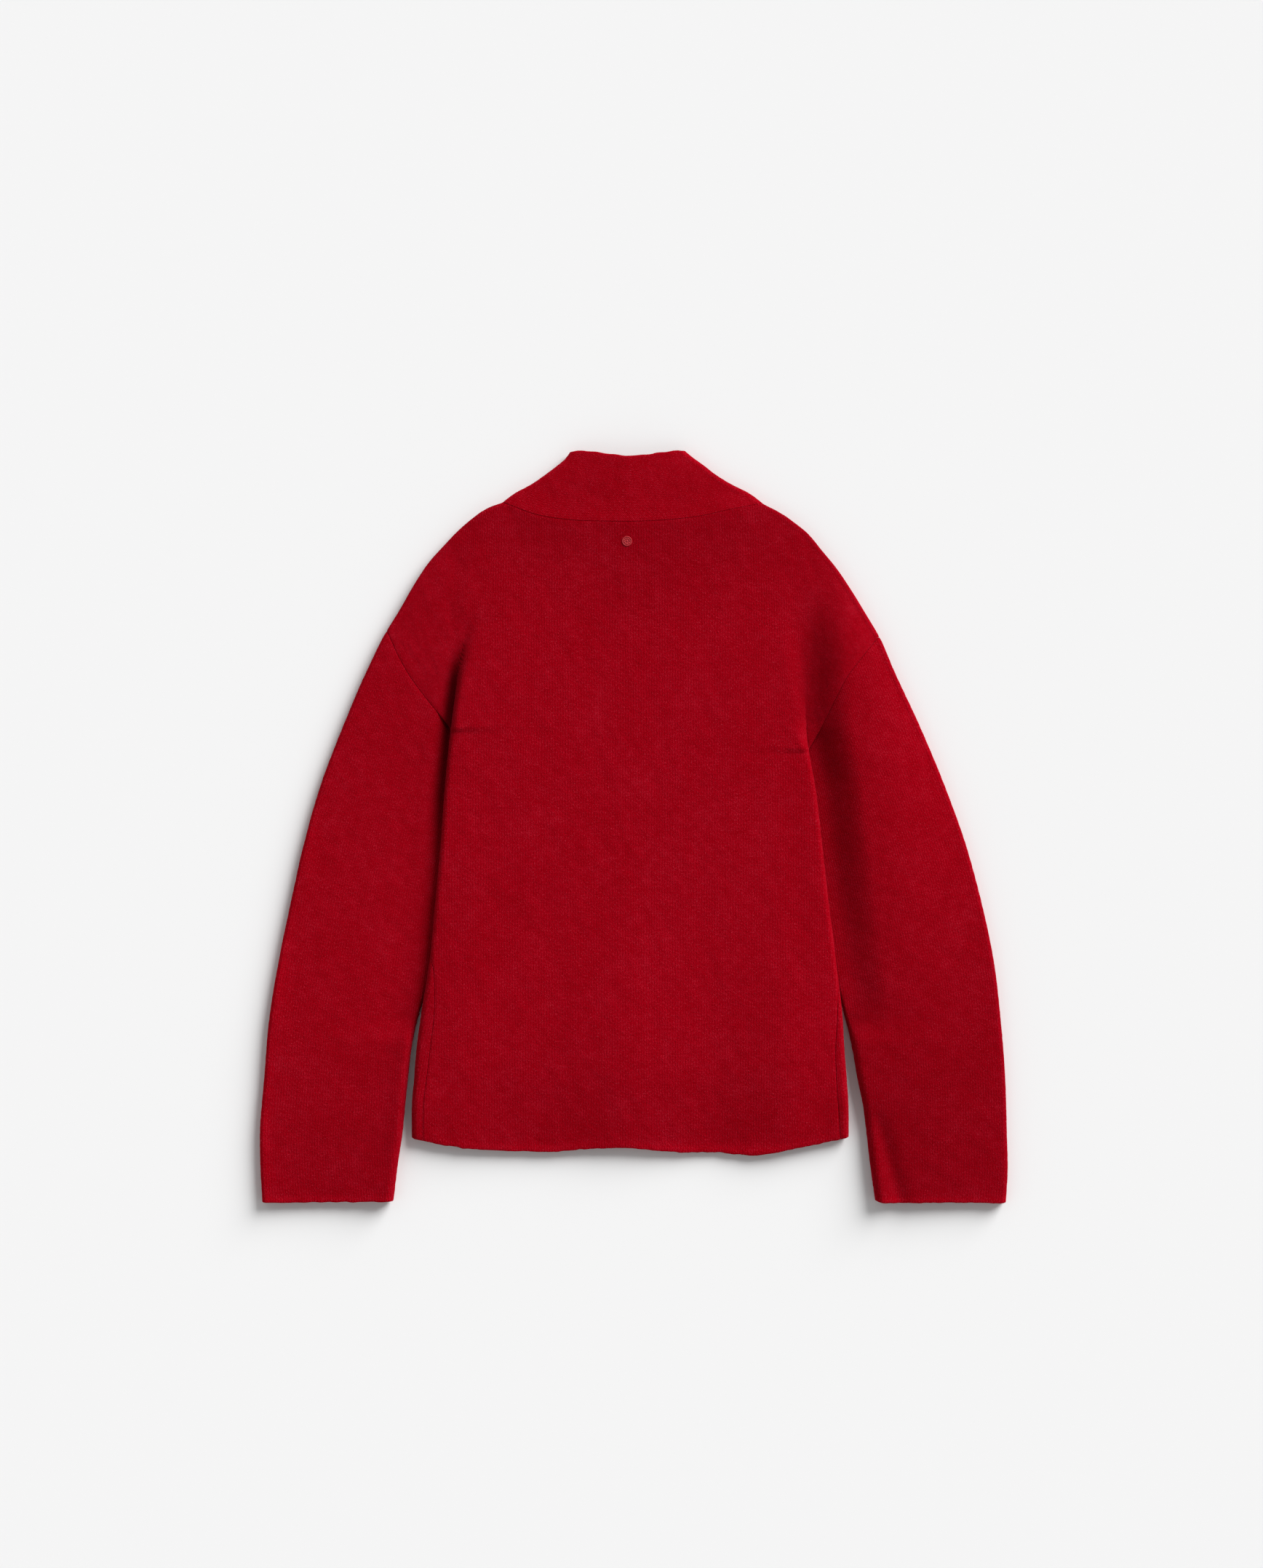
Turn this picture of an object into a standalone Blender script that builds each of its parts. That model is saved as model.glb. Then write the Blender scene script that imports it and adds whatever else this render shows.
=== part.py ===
"""Button cardigan in heavy red knit, lying face down with its sleeves down its sides.

The frame is in metres with +Z up. The origin is under the middle of the bounding box, on the
surface that the cardigan lies on. +Y points to the neck, and -X is the wearer's left.
Tables and sizes are in millimetres. "Out" is the distance from the Y axis, on either side.
A panel is a sheet along the middle of the cloth, thickened by half the wall on each side.
"""

import math

import bpy
import numpy as np

MM = 0.001
LEFT = -1
RIGHT = 1

# Cloth
WALL = 3.0                    # thickness of the felted knit
HALF = WALL / 2
GAP = 0.3                     # between pieces at a seam, and between layers
SIDE_GAP = 0.9                # at the side seams, which run round the fold of the side
EDGE_R = 4.0                  # middle radius of the fold along shoulders and sleeves
SIDE_R = 4.5                  # middle radius of the fold along the body's sides
TUCK_R = 2.0                  # middle radius of a sleeve edge pressed under the body
FOLD_FLAT = 1.5               # half height of the upright part of an edge fold
EDGE_MID = HALF + EDGE_R      # height of the middle of an edge fold
BODY_LIFT = 2 * TUCK_R + WALL + GAP  # rise of the body's sides over the pressed sleeves
SHOULDER_REACH = 18.0         # how fast the cloth rises inside the outline and the folds
BODY_REACH = 24.0

# Outline of the shoulders: out, y on the left, y on the right
SHOULDERS = (
    (121.0, 302.6, 301.2),
    (136.0, 297.2, 293.8),
    (150.0, 287.4, 284.0),
    (163.0, 276.2, 273.5),
    (177.0, 261.6, 256.8),
    (190.0, 247.2, 241.0),
    (204.0, 226.4, 220.3),
    (218.0, 202.0, 197.4),
    (230.4, 181.7, 176.3),
)

# Outer edges of the sleeves: y, out on the left, out on the right
SLEEVE_OUTER = (
    (146.0, 248.2, 243.5),
    (92.0, 271.3, 268.5),
    (37.0, 292.4, 290.8),
    (-17.0, 308.0, 309.7),
    (-71.0, 320.3, 324.3),
    (-126.0, 331.8, 336.0),
    (-180.0, 340.7, 342.4),
    (-235.0, 345.4, 346.8),
    (-289.0, 349.5, 348.5),
    (-320.0, 348.8, 349.5),
    (-351.6, 346.8, 348.0),
)

# Inner edges of the sleeves, under the body down to about y = -165: y, left, right
SLEEVE_INNER = (
    (51.0, 146.0, 143.5),
    (-17.0, 161.0, 158.5),
    (-71.0, 174.0, 172.0),
    (-126.0, 186.0, 184.5),
    (-153.0, 192.5, 191.3),
    (-180.0, 201.3, 198.5),
    (-207.0, 206.7, 204.5),
    (-235.0, 210.1, 209.4),
    (-262.0, 212.8, 214.9),
    (-289.0, 215.6, 218.3),
    (-316.0, 219.6, 221.4),
    (-351.6, 224.0, 226.5),
)

# Armhole seams from the shoulder tip to the underarm: left out, left y, right out, right y
ARMHOLES = (
    (230.4, 181.7, 230.4, 176.3),
    (218.3, 157.1, 214.2, 157.8),
    (208.1, 139.4, 200.0, 139.4),
    (193.1, 119.0, 190.4, 121.0),
    (181.6, 104.7, 182.2, 104.0),
    (171.0, 91.0, 171.0, 83.0),
    (158.0, 72.0, 158.0, 60.5),
    (146.0, 51.0, 146.0, 41.0),
)

# Side edges of the body, and above the underarm the crease in the back: y, left, right
BODY_SIDES = (
    (240.0, 150.0, 164.0),
    (200.0, 153.5, 164.0),
    (170.0, 158.0, 164.0),
    (146.0, 162.5, 163.0),
    (119.0, 166.5, 162.0),
    (92.0, 170.0, 162.0),
    (65.0, 172.8, 165.0),
    (37.0, 175.5, 170.0),
    (-17.0, 179.5, 176.5),
    (-71.0, 184.5, 182.5),
    (-126.0, 190.0, 189.5),
    (-180.0, 198.4, 195.8),
    (-207.0, 202.0, 197.3),
    (-235.0, 204.2, 199.4),
    (-262.0, 206.5, 201.2),
    (-292.0, 206.8, 201.6),
)

# Side seams: y, length along the cloth from the edge of the body on the left and on the
# right; positive on the back's face, negative on the underside
SIDE_SEAMS = (
    (51.0, -30.2, -26.8),
    (-17.0, -22.0, -19.2),
    (-71.0, -12.0, -12.5),
    (-112.0, -1.0, -3.4),
    (-140.0, 7.0, 1.0),
    (-172.0, 12.5, 5.0),
    (-207.0, 13.5, 9.0),
    (-250.0, 11.5, 10.5),
    (-292.0, 11.0, 8.5),
)

# Lower edge of the back: x, y
HEM = (
    (-207.0, -292.0),
    (-180.0, -297.8),
    (-152.0, -301.9),
    (-112.0, -304.0),
    (-71.0, -304.5),
    (-43.0, -302.0),
    (-3.0, -301.2),
    (38.0, -305.0),
    (79.0, -305.5),
    (120.0, -308.0),
    (147.0, -302.6),
    (174.0, -297.2),
    (202.0, -291.2),
)
FRONT_HEM_RISE = 3.0          # the fronts' hem lies this much inside the back's

# Collar seam across the back neck: x, y
BACK_NECK = (
    (-121.0, 302.0),
    (-93.0, 291.2),
    (-57.0, 285.3),
    (-25.0, 284.2),
    (8.0, 284.2),
    (42.0, 286.4),
    (64.5, 289.4),
    (87.0, 294.4),
    (121.0, 301.2),
)

# Front neckline and the collar's free edge over it: out, y, out of the edge, y of the edge
FRONT_NECK = (
    (121.0, 301.5, 57.0, 350.0),
    (118.9, 294.6, 56.7, 341.0),
    (114.0, 280.0, 56.0, 322.0),
    (104.0, 256.0, 53.0, 299.0),
    (91.0, 234.0, 48.0, 280.0),
    (75.0, 215.0, 41.0, 266.0),
    (57.0, 201.0, 33.0, 256.5),
    (38.0, 192.5, 25.0, 251.0),
    (20.0, 188.5, 16.0, 248.6),
    (-30.0, 187.0, -30.0, 248.0),
)

# Sides of the collar from the shoulder up: left x, left y, right x, right y
COLLAR_SIDES = (
    (-121.0, 303.6, 119.0, 302.6),
    (-110.8, 310.8, 108.1, 310.8),
    (-95.2, 318.9, 91.8, 318.9),
    (-83.0, 327.1, 78.0, 327.1),
    (-72.1, 335.2, 66.5, 335.8),
    (-62.6, 343.4, 56.0, 346.0),
    (-57.6, 350.6, 49.4, 351.7),
)

# Free edge of the collar's back half: x, y
COLLAR_TOP = (
    (-58.0, 350.2),
    (-40.8, 349.5),
    (-13.6, 346.1),
    (0.0, 345.4),
    (27.2, 348.8),
    (49.8, 351.6),
)

# Heights of the upper layer's middle: y, body, sleeves
HEIGHTS = (
    (352.0, 13.5, 10.0),
    (300.0, 15.4, 12.5),
    (250.0, 16.4, 14.5),
    (200.0, 16.8, 15.0),
    (150.0, 17.2, 14.5),
    (84.0, 17.5, 14.0),
    (-71.0, 17.5, 13.5),
    (-150.0, 17.2, 13.0),
    (-200.0, 16.2, 12.5),
    (-260.0, 14.0, 11.5),
    (-352.0, 12.6, 10.5),
)

# Crease beside the body above the underarm, where it fades into the back: height above
# the point where the armhole seam goes under the body, then on the left and on the right
# the lowest heights of the back and of the sleeve and the width of the body's wall
CREASE = (
    (0.0, 8.8, 8.8, 5.5, 5.5, 4.5, 4.5),
    (12.0, 8.6, 9.5, 5.8, 6.5, 4.2, 8.0),
    (24.0, 8.0, 10.8, 7.8, 10.0, 4.2, 10.0),
    (35.0, 7.6, 12.0, 7.6, 12.0, 4.5, 13.0),
    (62.0, 8.4, 13.2, 8.4, 13.2, 6.0, 18.0),
    (86.0, 12.2, 13.5, 12.2, 13.5, 11.0, 20.0),
    (111.0, 16.0, 14.4, 16.0, 14.4, 35.0, 28.0),
    (155.0, 16.9, 16.5, 16.9, 16.5, 45.0, 32.0),
)
WALL_SOFT = {LEFT: (50.0, 110.0), RIGHT: (10.0, 90.0)}  # where the wall turns to a soft slope
SLEEVE_SHOULDER = {LEFT: 30.0, RIGHT: 38.0}  # run of the sleeve's slope beside the body
SLEEVE_SHELF = {LEFT: 4.0, RIGHT: 6.0}       # width pressed flat just outside the body
# Ridge of the right sleeve beside the body: height, reach of its crest and of its outer
# foot, and the levels where it starts and is full, and where it is full and ends
RIDGE = {LEFT: 0.0, RIGHT: 6.5}
RIDGE_REACH = (40.0, 150.0)
RIDGE_LEVELS = (-245.0, 0.0, 150.0, 250.0)
LIFT_END_Y = -240.0           # the body's sides are down on the floor from here
LIFT_START_Y = -183.0
UNDERARM_RAMP = 18.0          # run of the fronts' rise above the underarm
INNER_RAMP = (4.0, 44.0)      # the fronts come down between these, inside the sleeve's edge

# Low waves of the back above the hem: x of the crest, width, height
HEM_WAVES = (
    (-170.0, 34.0, 0.8),
    (-10.0, 40.0, 2.0),
    (78.0, 34.0, -1.4),
    (140.0, 30.0, 1.2),
)
WAVES_START_Y = -20.0
WAVES_FULL_Y = -240.0

# Closure at the centre front, wearer's right over left
CENTRE_X = -5.0
LAP = 30.0                    # overlap of the fronts
BAND_HALF = 17.0              # half width of the flat band over the buttons
BAND_FOOT = 75.0              # the fronts are down on the floor this far from the centre
BUTTON_COUNT = 7
BUTTON_PITCH = 80.0
TOP_BUTTON_Y = 218.0          # on the collar
BUTTON_R = 10.0
BUTTON_T = 3.0
BUTTON_ROUND = 0.9            # bevel of the button's rim
SHANK_R = 1.1
SLOT_LENGTH = 21.0
SLOT_WIDTH = 3.0

# Stud at the nape
STUD_X = -5.6
STUD_Y = 264.6
STUD_R = 5.0
STUD_T = 1.3
STUD_RING = 3.9               # inner radius of the stud's raised rim
STUD_SINK = 0.4

# Layout of the grids
STRIP = 0.5                   # width of the narrow strip along each seam
TOP_ROWS = (1.3, 4.0, 10.0)   # rows close to a shoulder edge or neck seam
UPPER_SHARES = (0.3, 0.55, 0.76, 0.9, 1.0)   # rows down to where the seam goes under
TUCK_SHARES = (0.3, 0.65, 1.0)               # rows from there to the underarm
UNDERARM_ROOM = 1.2           # more room between front and sleeve just above the underarm
LOWER_SHARES = (0.09, 0.18, 0.26, 0.33, 0.39, 0.44, 0.485, 0.53, 0.58, 0.635, 0.70,
                0.77, 0.85, 0.93, 1.0)
HEM_LEVEL = -295.0            # the columns' places at this level set their length
SIDE_COLUMNS = (0.0, STRIP, 4.0, 8.0, 12.0, 16.0, 20.0, 25.0, 32.0, 42.0, 55.0, 70.0, 88.0)
# Where those columns run along the body's side: length along the cloth from its edge.
# The side seam pushes on the ones that it meets.
BACK_FOLD = (-14.0, -7.0, -3.5, 0.0, 3.5, 7.0, 11.0, 17.0, 27.0, 44.0, 66.0)
FRONT_FOLD = (7.0, 3.5, 0.0, -3.5, -7.0, -14.0, -24.0, -34.0, -44.0, -58.0, -78.0)
PUSH = 1.5                    # how softly the seam pushes
NECK_COLUMNS = (-116.5, -109.0, -97.0, -80.0, -56.0, -28.0, 0.0,
                28.0, 56.0, 80.0, 97.0, 109.0, 116.5)
LEVEL_BLEND = 100.0           # rows pass from one side's levels to the other's inside this
COLLAR_SHARES = (0.15, 0.35, 0.58, 0.8, 1.0)
CORNER_LIP = 0.8              # half the room between back and fronts at the neck points
CORNER_GAP = 1.6              # more room between pieces at the neck points and tips
TIP_REACH = 8.0               # width over which that room closes at the shoulder tips
CREASE_GAP = 0.4              # more room where the armhole seam goes under the body
CREASE_REACH = 30.0
CORNER_REACH = 30.0           # the collar's curved side fades into it over this width
AT_CORNER = 0.98              # share of that fade that marks the column at the neck point
COLLAR_RISE = 34.0            # the collar's front half is free to rise this far inside
EDGE_CROWDING = 0.5           # how much wider the outer columns are at the collar's edge
SLEEVE_STATIONS = 18
CIRCLE_STEPS = 20
SECTION_PITCH = 4.0           # between the sections worked out along the body

RED = (0.292, 0.004, 0.010, 1.0)
COLLAR_RED = (0.280, 0.003, 0.009, 1.0)
BUTTON_RED = (0.150, 0.004, 0.008, 1.0)
STUD_RED = (0.420, 0.075, 0.080, 1.0)


# ---- Curves ---------------------------------------------------------------------------

def smooth(start, end, value):
    """Rise from 0 at start to 1 at end with level ends."""
    s = np.clip((value - start) / (end - start), 0.0, 1.0)
    return s * s * (3 - 2 * s)


def spline(keys, values):
    """Smooth curve through values at keys, level outside them; keys may rise or fall."""
    keys = np.asarray(keys, float)
    values = np.asarray(values, float)
    order = np.argsort(keys)
    keys = keys[order]
    values = values[order]
    slopes = np.gradient(values, keys)

    def curve(at):
        at = np.clip(at, keys[0], keys[-1])
        i = np.clip(np.searchsorted(keys, at) - 1, 0, len(keys) - 2)
        width = keys[i + 1] - keys[i]
        s = (at - keys[i]) / width
        rise = s * s * (3 - 2 * s)
        start = width * slopes[i] * s * (1 - s) ** 2
        end = width * slopes[i + 1] * s * s * (s - 1)
        return values[i] * (1 - rise) + values[i + 1] * rise + start + end

    return curve


def column(table, index, key=0):
    return spline([row[key] for row in table], [row[index] for row in table])


def sides(table, left_index, right_index, key=0):
    """One curve for each side of the garment."""
    return {LEFT: column(table, left_index, key), RIGHT: column(table, right_index, key)}


def lengths(points):
    """Running length along a line of points."""
    steps = np.linalg.norm(np.diff(points, axis=0), axis=1)
    return np.concatenate(([0.0], np.cumsum(steps)))


def smooth_line(points, step=2.0):
    """Evenly spaced points on a smooth line through the given ones."""
    points = np.asarray(points, float)
    run = lengths(points)
    at = np.linspace(0.0, run[-1], max(2, int(run[-1] / step)))
    return np.column_stack([spline(run, points[:, k])(at) for k in range(2)])


def shifted(line, amount):
    """The line moved sideways: to its left as it runs when the amount is positive."""
    heading = np.gradient(line, axis=0)
    heading /= np.linalg.norm(heading, axis=1)[:, None]
    return line + amount * np.column_stack((-heading[:, 1], heading[:, 0]))


def distance_to(lines, x, y):
    """Distance in plan from each point to the nearest of several lines."""
    x = np.asarray(x, float)
    flat = np.column_stack((x.ravel(), np.broadcast_to(y, x.shape).ravel()))
    best = np.full(len(flat), np.inf)
    for line in lines:
        start = line[:-1]
        along = line[1:] - start
        size = (along ** 2).sum(1)
        away = flat[:, None, :] - start[None]
        share = np.clip((away * along[None]).sum(2) / size, 0.0, 1.0)
        near = away - share[..., None] * along[None]
        best = np.minimum(best, np.sqrt((near ** 2).sum(2)).min(1))
    return best.reshape(x.shape)


def line_at(line, fraction):
    run = lengths(line)
    return np.array([np.interp(fraction * run[-1], run, line[:, k]) for k in range(2)])


# ---- Plan of the garment ---------------------------------------------------------------

shoulder_y = sides(SHOULDERS, 1, 2)
armhole_out = {LEFT: column(ARMHOLES, 0, 1), RIGHT: column(ARMHOLES, 2, 3)}
inner_out = sides(SLEEVE_INNER, 1, 2)
body_out = sides(BODY_SIDES, 1, 2)
seam_length = sides(SIDE_SEAMS, 1, 2)
hem_y = column(HEM, 1)
back_neck_y = column(BACK_NECK, 1)
body_height = column(HEIGHTS, 1)
sleeve_height = column(HEIGHTS, 2)
crease_back = sides(CREASE, 1, 2)
crease_sleeve = sides(CREASE, 3, 4)
wall_width = sides(CREASE, 5, 6)
UNDERARM = {LEFT: ARMHOLES[-1][:2], RIGHT: ARMHOLES[-1][2:]}


def outer_line(side):
    """Middle of the cloth at the edge fold, from the neck point over the tip to the cuff."""
    shoulder = [(row[0], row[1 if side == LEFT else 2]) for row in SHOULDERS]
    sleeve = [(row[1 if side == LEFT else 2], row[0]) for row in SLEEVE_OUTER]
    line = smooth_line(shoulder + sleeve)
    line = shifted(line, -HALF)
    line[:, 0] *= side
    return line


def collar_line(side):
    """Middle of the cloth at the collar's side fold, from the neck point up."""
    first = 0 if side == LEFT else 2
    line = smooth_line([row[first:first + 2] for row in COLLAR_SIDES])
    return shifted(line, side * HALF)


outer = {side: outer_line(side) for side in (LEFT, RIGHT)}
collar_side = {side: collar_line(side) for side in (LEFT, RIGHT)}
edge_lines = list(outer.values()) + list(collar_side.values())


def tip(side):
    """Where the armhole seam starts, on the middle line of the edge fold."""
    line = outer[side]
    corner = np.array((side * ARMHOLES[0][0], SHOULDERS[-1][1 if side == LEFT else 2]))
    return line[np.argmin(np.linalg.norm(line - corner, axis=1))]


tips = {side: tip(side) for side in (LEFT, RIGHT)}


def boundary_out(side, y):
    """Out of the panels' side boundary above the underarm."""
    tip_out, tip_y = side * tips[side][0], tips[side][1]
    fix = tip_out - armhole_out[side](tip_y)
    fade = smooth(tip_y - 25.0, tip_y, y)
    return np.where(y >= tip_y, tip_out, armhole_out[side](y) + fix * fade)


def crossing(side):
    """Level at which the armhole seam goes under the side of the body."""
    levels = np.arange(UNDERARM[side][1], tips[side][1], 0.5)
    apart = boundary_out(side, levels) - body_out[side](levels) + HALF
    return float(levels[np.argmax(apart > 0)])


crossing_y = {side: crossing(side) for side in (LEFT, RIGHT)}


# ---- Heights of the cloth's middle -------------------------------------------------------

def edge_drop(z, d):
    """Bring an upper layer down to the edge fold within its distance d of the edge."""
    top = EDGE_MID + EDGE_R
    turn = np.sqrt(1 - (1 - np.clip(d / EDGE_R, 0.0, 1.0)) ** 2)
    fold = EDGE_MID + FOLD_FLAT + (EDGE_R - FOLD_FLAT) * turn
    rise = 1 - np.exp(-np.maximum(d - EDGE_R, 0.0) / SHOULDER_REACH)
    return np.where(d < EDGE_R, fold, top + (z - top) * rise)


def edge_lift(z, d):
    """Bring a lower layer up to the edge fold within its distance d of the edge."""
    turn = np.sqrt(1 - (1 - np.clip(d / EDGE_R, 0.0, 1.0)) ** 2)
    fold = EDGE_MID - FOLD_FLAT - (EDGE_R - FOLD_FLAT) * turn
    return z + np.where(d < EDGE_R, fold - HALF, 0.0)


def lift(y):
    """Rise of the body's side above the floor."""
    return BODY_LIFT * smooth(LIFT_END_Y, LIFT_START_Y, y)


def plateau(x, y):
    """Height of the back over the body."""
    waves = smooth(WAVES_START_Y, WAVES_FULL_Y, y)
    bumps = sum(h * np.exp(-((x - crest) / width) ** 2) for crest, width, h in HEM_WAVES)
    return body_height(y) + waves * bumps


def pressed(side, out, y, low):
    """Height of the cloth outside the body's edge: low beside it, rising outwards."""
    crossing = crossing_y[side]
    above = smooth(crossing + 30.0, crossing + 100.0, y)
    shelf = SLEEVE_SHELF[side] * (1 - above)
    reach = out - body_out[side](y) - shelf
    start, full_from, full_to, end = RIDGE_LEVELS
    ridge = smooth(start, full_from, y) * (1 - smooth(full_to, end, y))
    ridge = RIDGE[side] * ridge * (1 - smooth(*RIDGE_REACH, reach))
    full = sleeve_height(y) + ridge
    press = smooth(LIFT_END_Y, LIFT_START_Y, y)
    return full - press * (full - low) * (1 - smooth(0.0, SLEEVE_SHOULDER[side], reach))


def inner_radius(y):
    """Middle radius of the fold along the sleeve's inner edge."""
    return EDGE_R + (TUCK_R - EDGE_R) * smooth(LIFT_END_Y, LIFT_START_Y, y)


def sleeve_top(side, x, y):
    out = side * x
    above = y - crossing_y[side]
    z = pressed(side, out, y, crease_sleeve[side](above))
    radius = inner_radius(y)
    edge = HALF + 2 * radius
    inside = np.maximum(out - inner_out[side](y) - HALF - radius, 0.0)
    underarm_y = UNDERARM[side][1]
    fold = np.exp(-inside / SHOULDER_REACH) * (1 - smooth(underarm_y, underarm_y + 30.0, y))
    z = edge + (z - edge) * (1 - fold)
    return edge_drop(z, distance_to(edge_lines, x, y))


def front_height(side, out, y):
    """Height of a front: on the floor, up over the sleeve, and up over the buttons."""
    edge = np.minimum(inner_out[side](y), body_out[side](y) - HALF - SIDE_R)
    over = smooth(-INNER_RAMP[1], -INNER_RAMP[0], out - edge)
    fade = 1 - smooth(0.0, UNDERARM_RAMP, y - UNDERARM[side][1])
    from_centre = out - side * CENTRE_X
    layers = 1 if side == RIGHT else 2
    band = BUTTON_T + GAP + (layers - 1) * (WALL + GAP)
    rise = band * (1 - smooth(BAND_HALF, BAND_FOOT, from_centre))
    return HALF + lift(y) * over * fade + rise


# ---- Sections across the body --------------------------------------------------------------

def side_ring(side, y, inner_end):
    """Section round the body's side: running length from the edge, out, and height.

    It runs from inner_end on the underside, round the edge, to the Y axis on top.
    """
    edge = body_out[side](y) - HALF
    under = HALF + lift(y)
    low_r = SIDE_R
    if y > UNDERARM[side][1]:
        low_r = np.clip(edge - boundary_out(side, y), 0.01, SIDE_R)
    high_r = 2 * SIDE_R - low_r
    flat = np.linspace(inner_end, edge - low_r, 60)[:-1]
    turn = np.linspace(-math.pi / 2, math.pi / 2, 25)
    radius = np.where(turn < 0, low_r, high_r)
    wide = np.where(turn < 0, low_r, SIDE_R)
    fold_out = edge - wide * (1 - np.cos(turn))
    fold_z = under + low_r + radius * np.sin(turn)
    top = np.linspace(edge - SIDE_R, 0.0, 60)[1:]
    low_z = np.full(len(flat), under)
    if y <= UNDERARM[side][1]:
        low_z = front_height(side, flat, y)
    start = under + 2 * SIDE_R
    rise = 1 - np.exp(-(edge - SIDE_R - top) / BODY_REACH)
    top_z = start + (plateau(side * top, y) - start) * rise
    out = np.concatenate((flat, fold_out, top))
    z = np.concatenate((low_z, fold_z, top_z))
    run = lengths(np.column_stack((out, z)))
    apex = run[len(flat) + 12]
    return run - apex, out, z


def crease_section(side, y):
    """Section of the back above the crossing: shoulder, crease, wall, and body."""
    above = y - crossing_y[side]
    edge = body_out[side](y) - HALF
    low = crease_back[side](above)
    width = wall_width[side](above)
    outside = np.linspace(boundary_out(side, y), edge, 24)
    outside_z = pressed(side, outside, y, low)
    s = np.linspace(0.0, 1.0, 24)[1:]
    soft = smooth(*WALL_SOFT[side], above)
    steep = 1 - np.cos(s * math.pi / 2)
    wall = edge - width * (steep + (s - steep) * soft)
    top = plateau(side * (edge - width), y)
    bend = np.sin(s * math.pi / 2)
    bend = bend + (smooth(0.0, 1.0, s) - bend) * soft
    wall_z = low + (top - low) * bend
    inside = np.linspace(edge - width, 0.0, 60)[1:]
    inside_z = plateau(side * inside, y)
    out = np.concatenate((outside, wall, inside))
    return out, np.concatenate((outside_z, wall_z, inside_z))


def seam_gap(side, y):
    return SIDE_GAP if y <= UNDERARM[side][1] else GAP


def cut(run, out, z, start):
    """The part of a section from a given running length on."""
    keep = run > start
    first = [np.interp(start, run, values) for values in (out, z)]
    return np.concatenate(([first[0]], out[keep])), np.concatenate(([first[1]], z[keep]))


def side_places(fold, seam_to_edge, share):
    """Running lengths of the side columns from the seam.

    They keep their places along the body's fold where share is 1, and their distances from
    the seam at the shoulder where it is 0.
    """
    least = STRIP * np.arange(1, len(fold) + 2)
    push = (np.array(fold) + seam_to_edge - least[1:]) / PUSH
    kept = least[1:] + PUSH * np.logaddexp(0.0, push)
    kept = np.concatenate(([0.0, STRIP], kept))
    return np.array(SIDE_COLUMNS) * (1 - share) + kept * share


def seam_start(side, y):
    """Running length from the body's edge at which the back starts."""
    if y <= UNDERARM[side][1]:
        return float(seam_length[side](y))
    run, out, _ = side_ring(side, y, 100.0)
    under = run <= 0
    return float(np.interp(boundary_out(side, y), out[under], run[under]))


def slope_share(y):
    """Share of the slopes in a section's length; none at the shoulders."""
    return 1 - smooth(max(crossing_y.values()), tips[RIGHT][1], y)


def back_half(side, y):
    """Section of the back from its side boundary to the Y axis, and its side columns."""
    if y > crossing_y[side]:
        out, z = crease_section(side, y)
        to_edge = abs(out[0] - body_out[side](y) + HALF)
    else:
        start = seam_start(side, y) + seam_gap(side, y) / 2
        out, z = cut(*side_ring(side, y, 100.0), start)
        to_edge = -start
    share = 1 - smooth(crossing_y[side], tips[side][1], y)
    return out, z, side_places(BACK_FOLD, to_edge, share)


def front_half(side, y, centre_out):
    """Section of a front from its side boundary to the centre front, and its side columns."""
    underarm_y = UNDERARM[side][1]
    start = seam_start(side, min(y, underarm_y)) - SIDE_GAP / 2
    if y > underarm_y:
        room = UNDERARM_ROOM * (1 - smooth(0.0, 25.0, y - underarm_y))
        out = np.linspace(boundary_out(side, y) - GAP / 2 - room, centre_out, 120)
        z = front_height(side, out, y)
    else:
        run, out, z = side_ring(side, y, centre_out)
        keep = run < start
        last = [np.interp(start, run, values) for values in (out, z)]
        out = np.append(out[keep], last[0])[::-1]
        z = np.append(z[keep], last[1])[::-1]
    share = 1 - smooth(underarm_y, tips[side][1], y)
    return out, z, side_places([-length for length in FRONT_FOLD], start, share)


def spread(x, z, y, first, last, middle):
    """Points of a section: side columns at its ends and the middle ones between them."""
    run = lengths(np.column_stack((x, z * slope_share(y))))
    end = run[-1] - (last[-1] if len(last) else 0.0)
    at = first[-1] + np.array(middle) * (end - first[-1])
    at = np.concatenate((first, at, run[-1] - last[::-1]))
    return np.interp(at, run, x), np.interp(at, run, z)


def section_levels():
    low = min(row[1] for row in HEM) - SECTION_PITCH
    high = max(row[1] for row in SHOULDERS)
    levels = np.arange(low, high, SECTION_PITCH)
    marks = [UNDERARM[s][1] + d for s in (LEFT, RIGHT) for d in (0.0, 0.01)]
    marks += [crossing_y[s] + d for s in (LEFT, RIGHT) for d in (0.0, 0.01)]
    marks += [tips[s][1] for s in (LEFT, RIGHT)]
    return np.unique(np.concatenate((levels, marks)))


def body_chart(section):
    """Where each column lies at each level: a function of column and y giving x and z."""
    levels = section_levels()
    points = np.array([spread(*section(y)) for y in levels])

    def chart(index, y):
        x = np.interp(y, levels, points[:, 0, index])
        return x, np.interp(y, levels, points[:, 1, index])

    return chart


# ---- Panels ----------------------------------------------------------------------------------

def row_levels(top, cross, underarm, bottom):
    """Levels of the rows in one column, from the shoulder or neck to the hem."""
    near = [top, top - STRIP] + [top - step for step in TOP_ROWS]
    upper = [near[-1] + (cross - near[-1]) * share for share in UPPER_SHARES]
    tuck = [cross + (underarm - cross) * share for share in TUCK_SHARES]
    lower = [underarm + (bottom - underarm) * share for share in LOWER_SHARES]
    return np.concatenate((near, upper, tuck, lower))


UNDERARM_ROW = 1 + len(TOP_ROWS) + len(UPPER_SHARES) + len(TUCK_SHARES)


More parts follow.
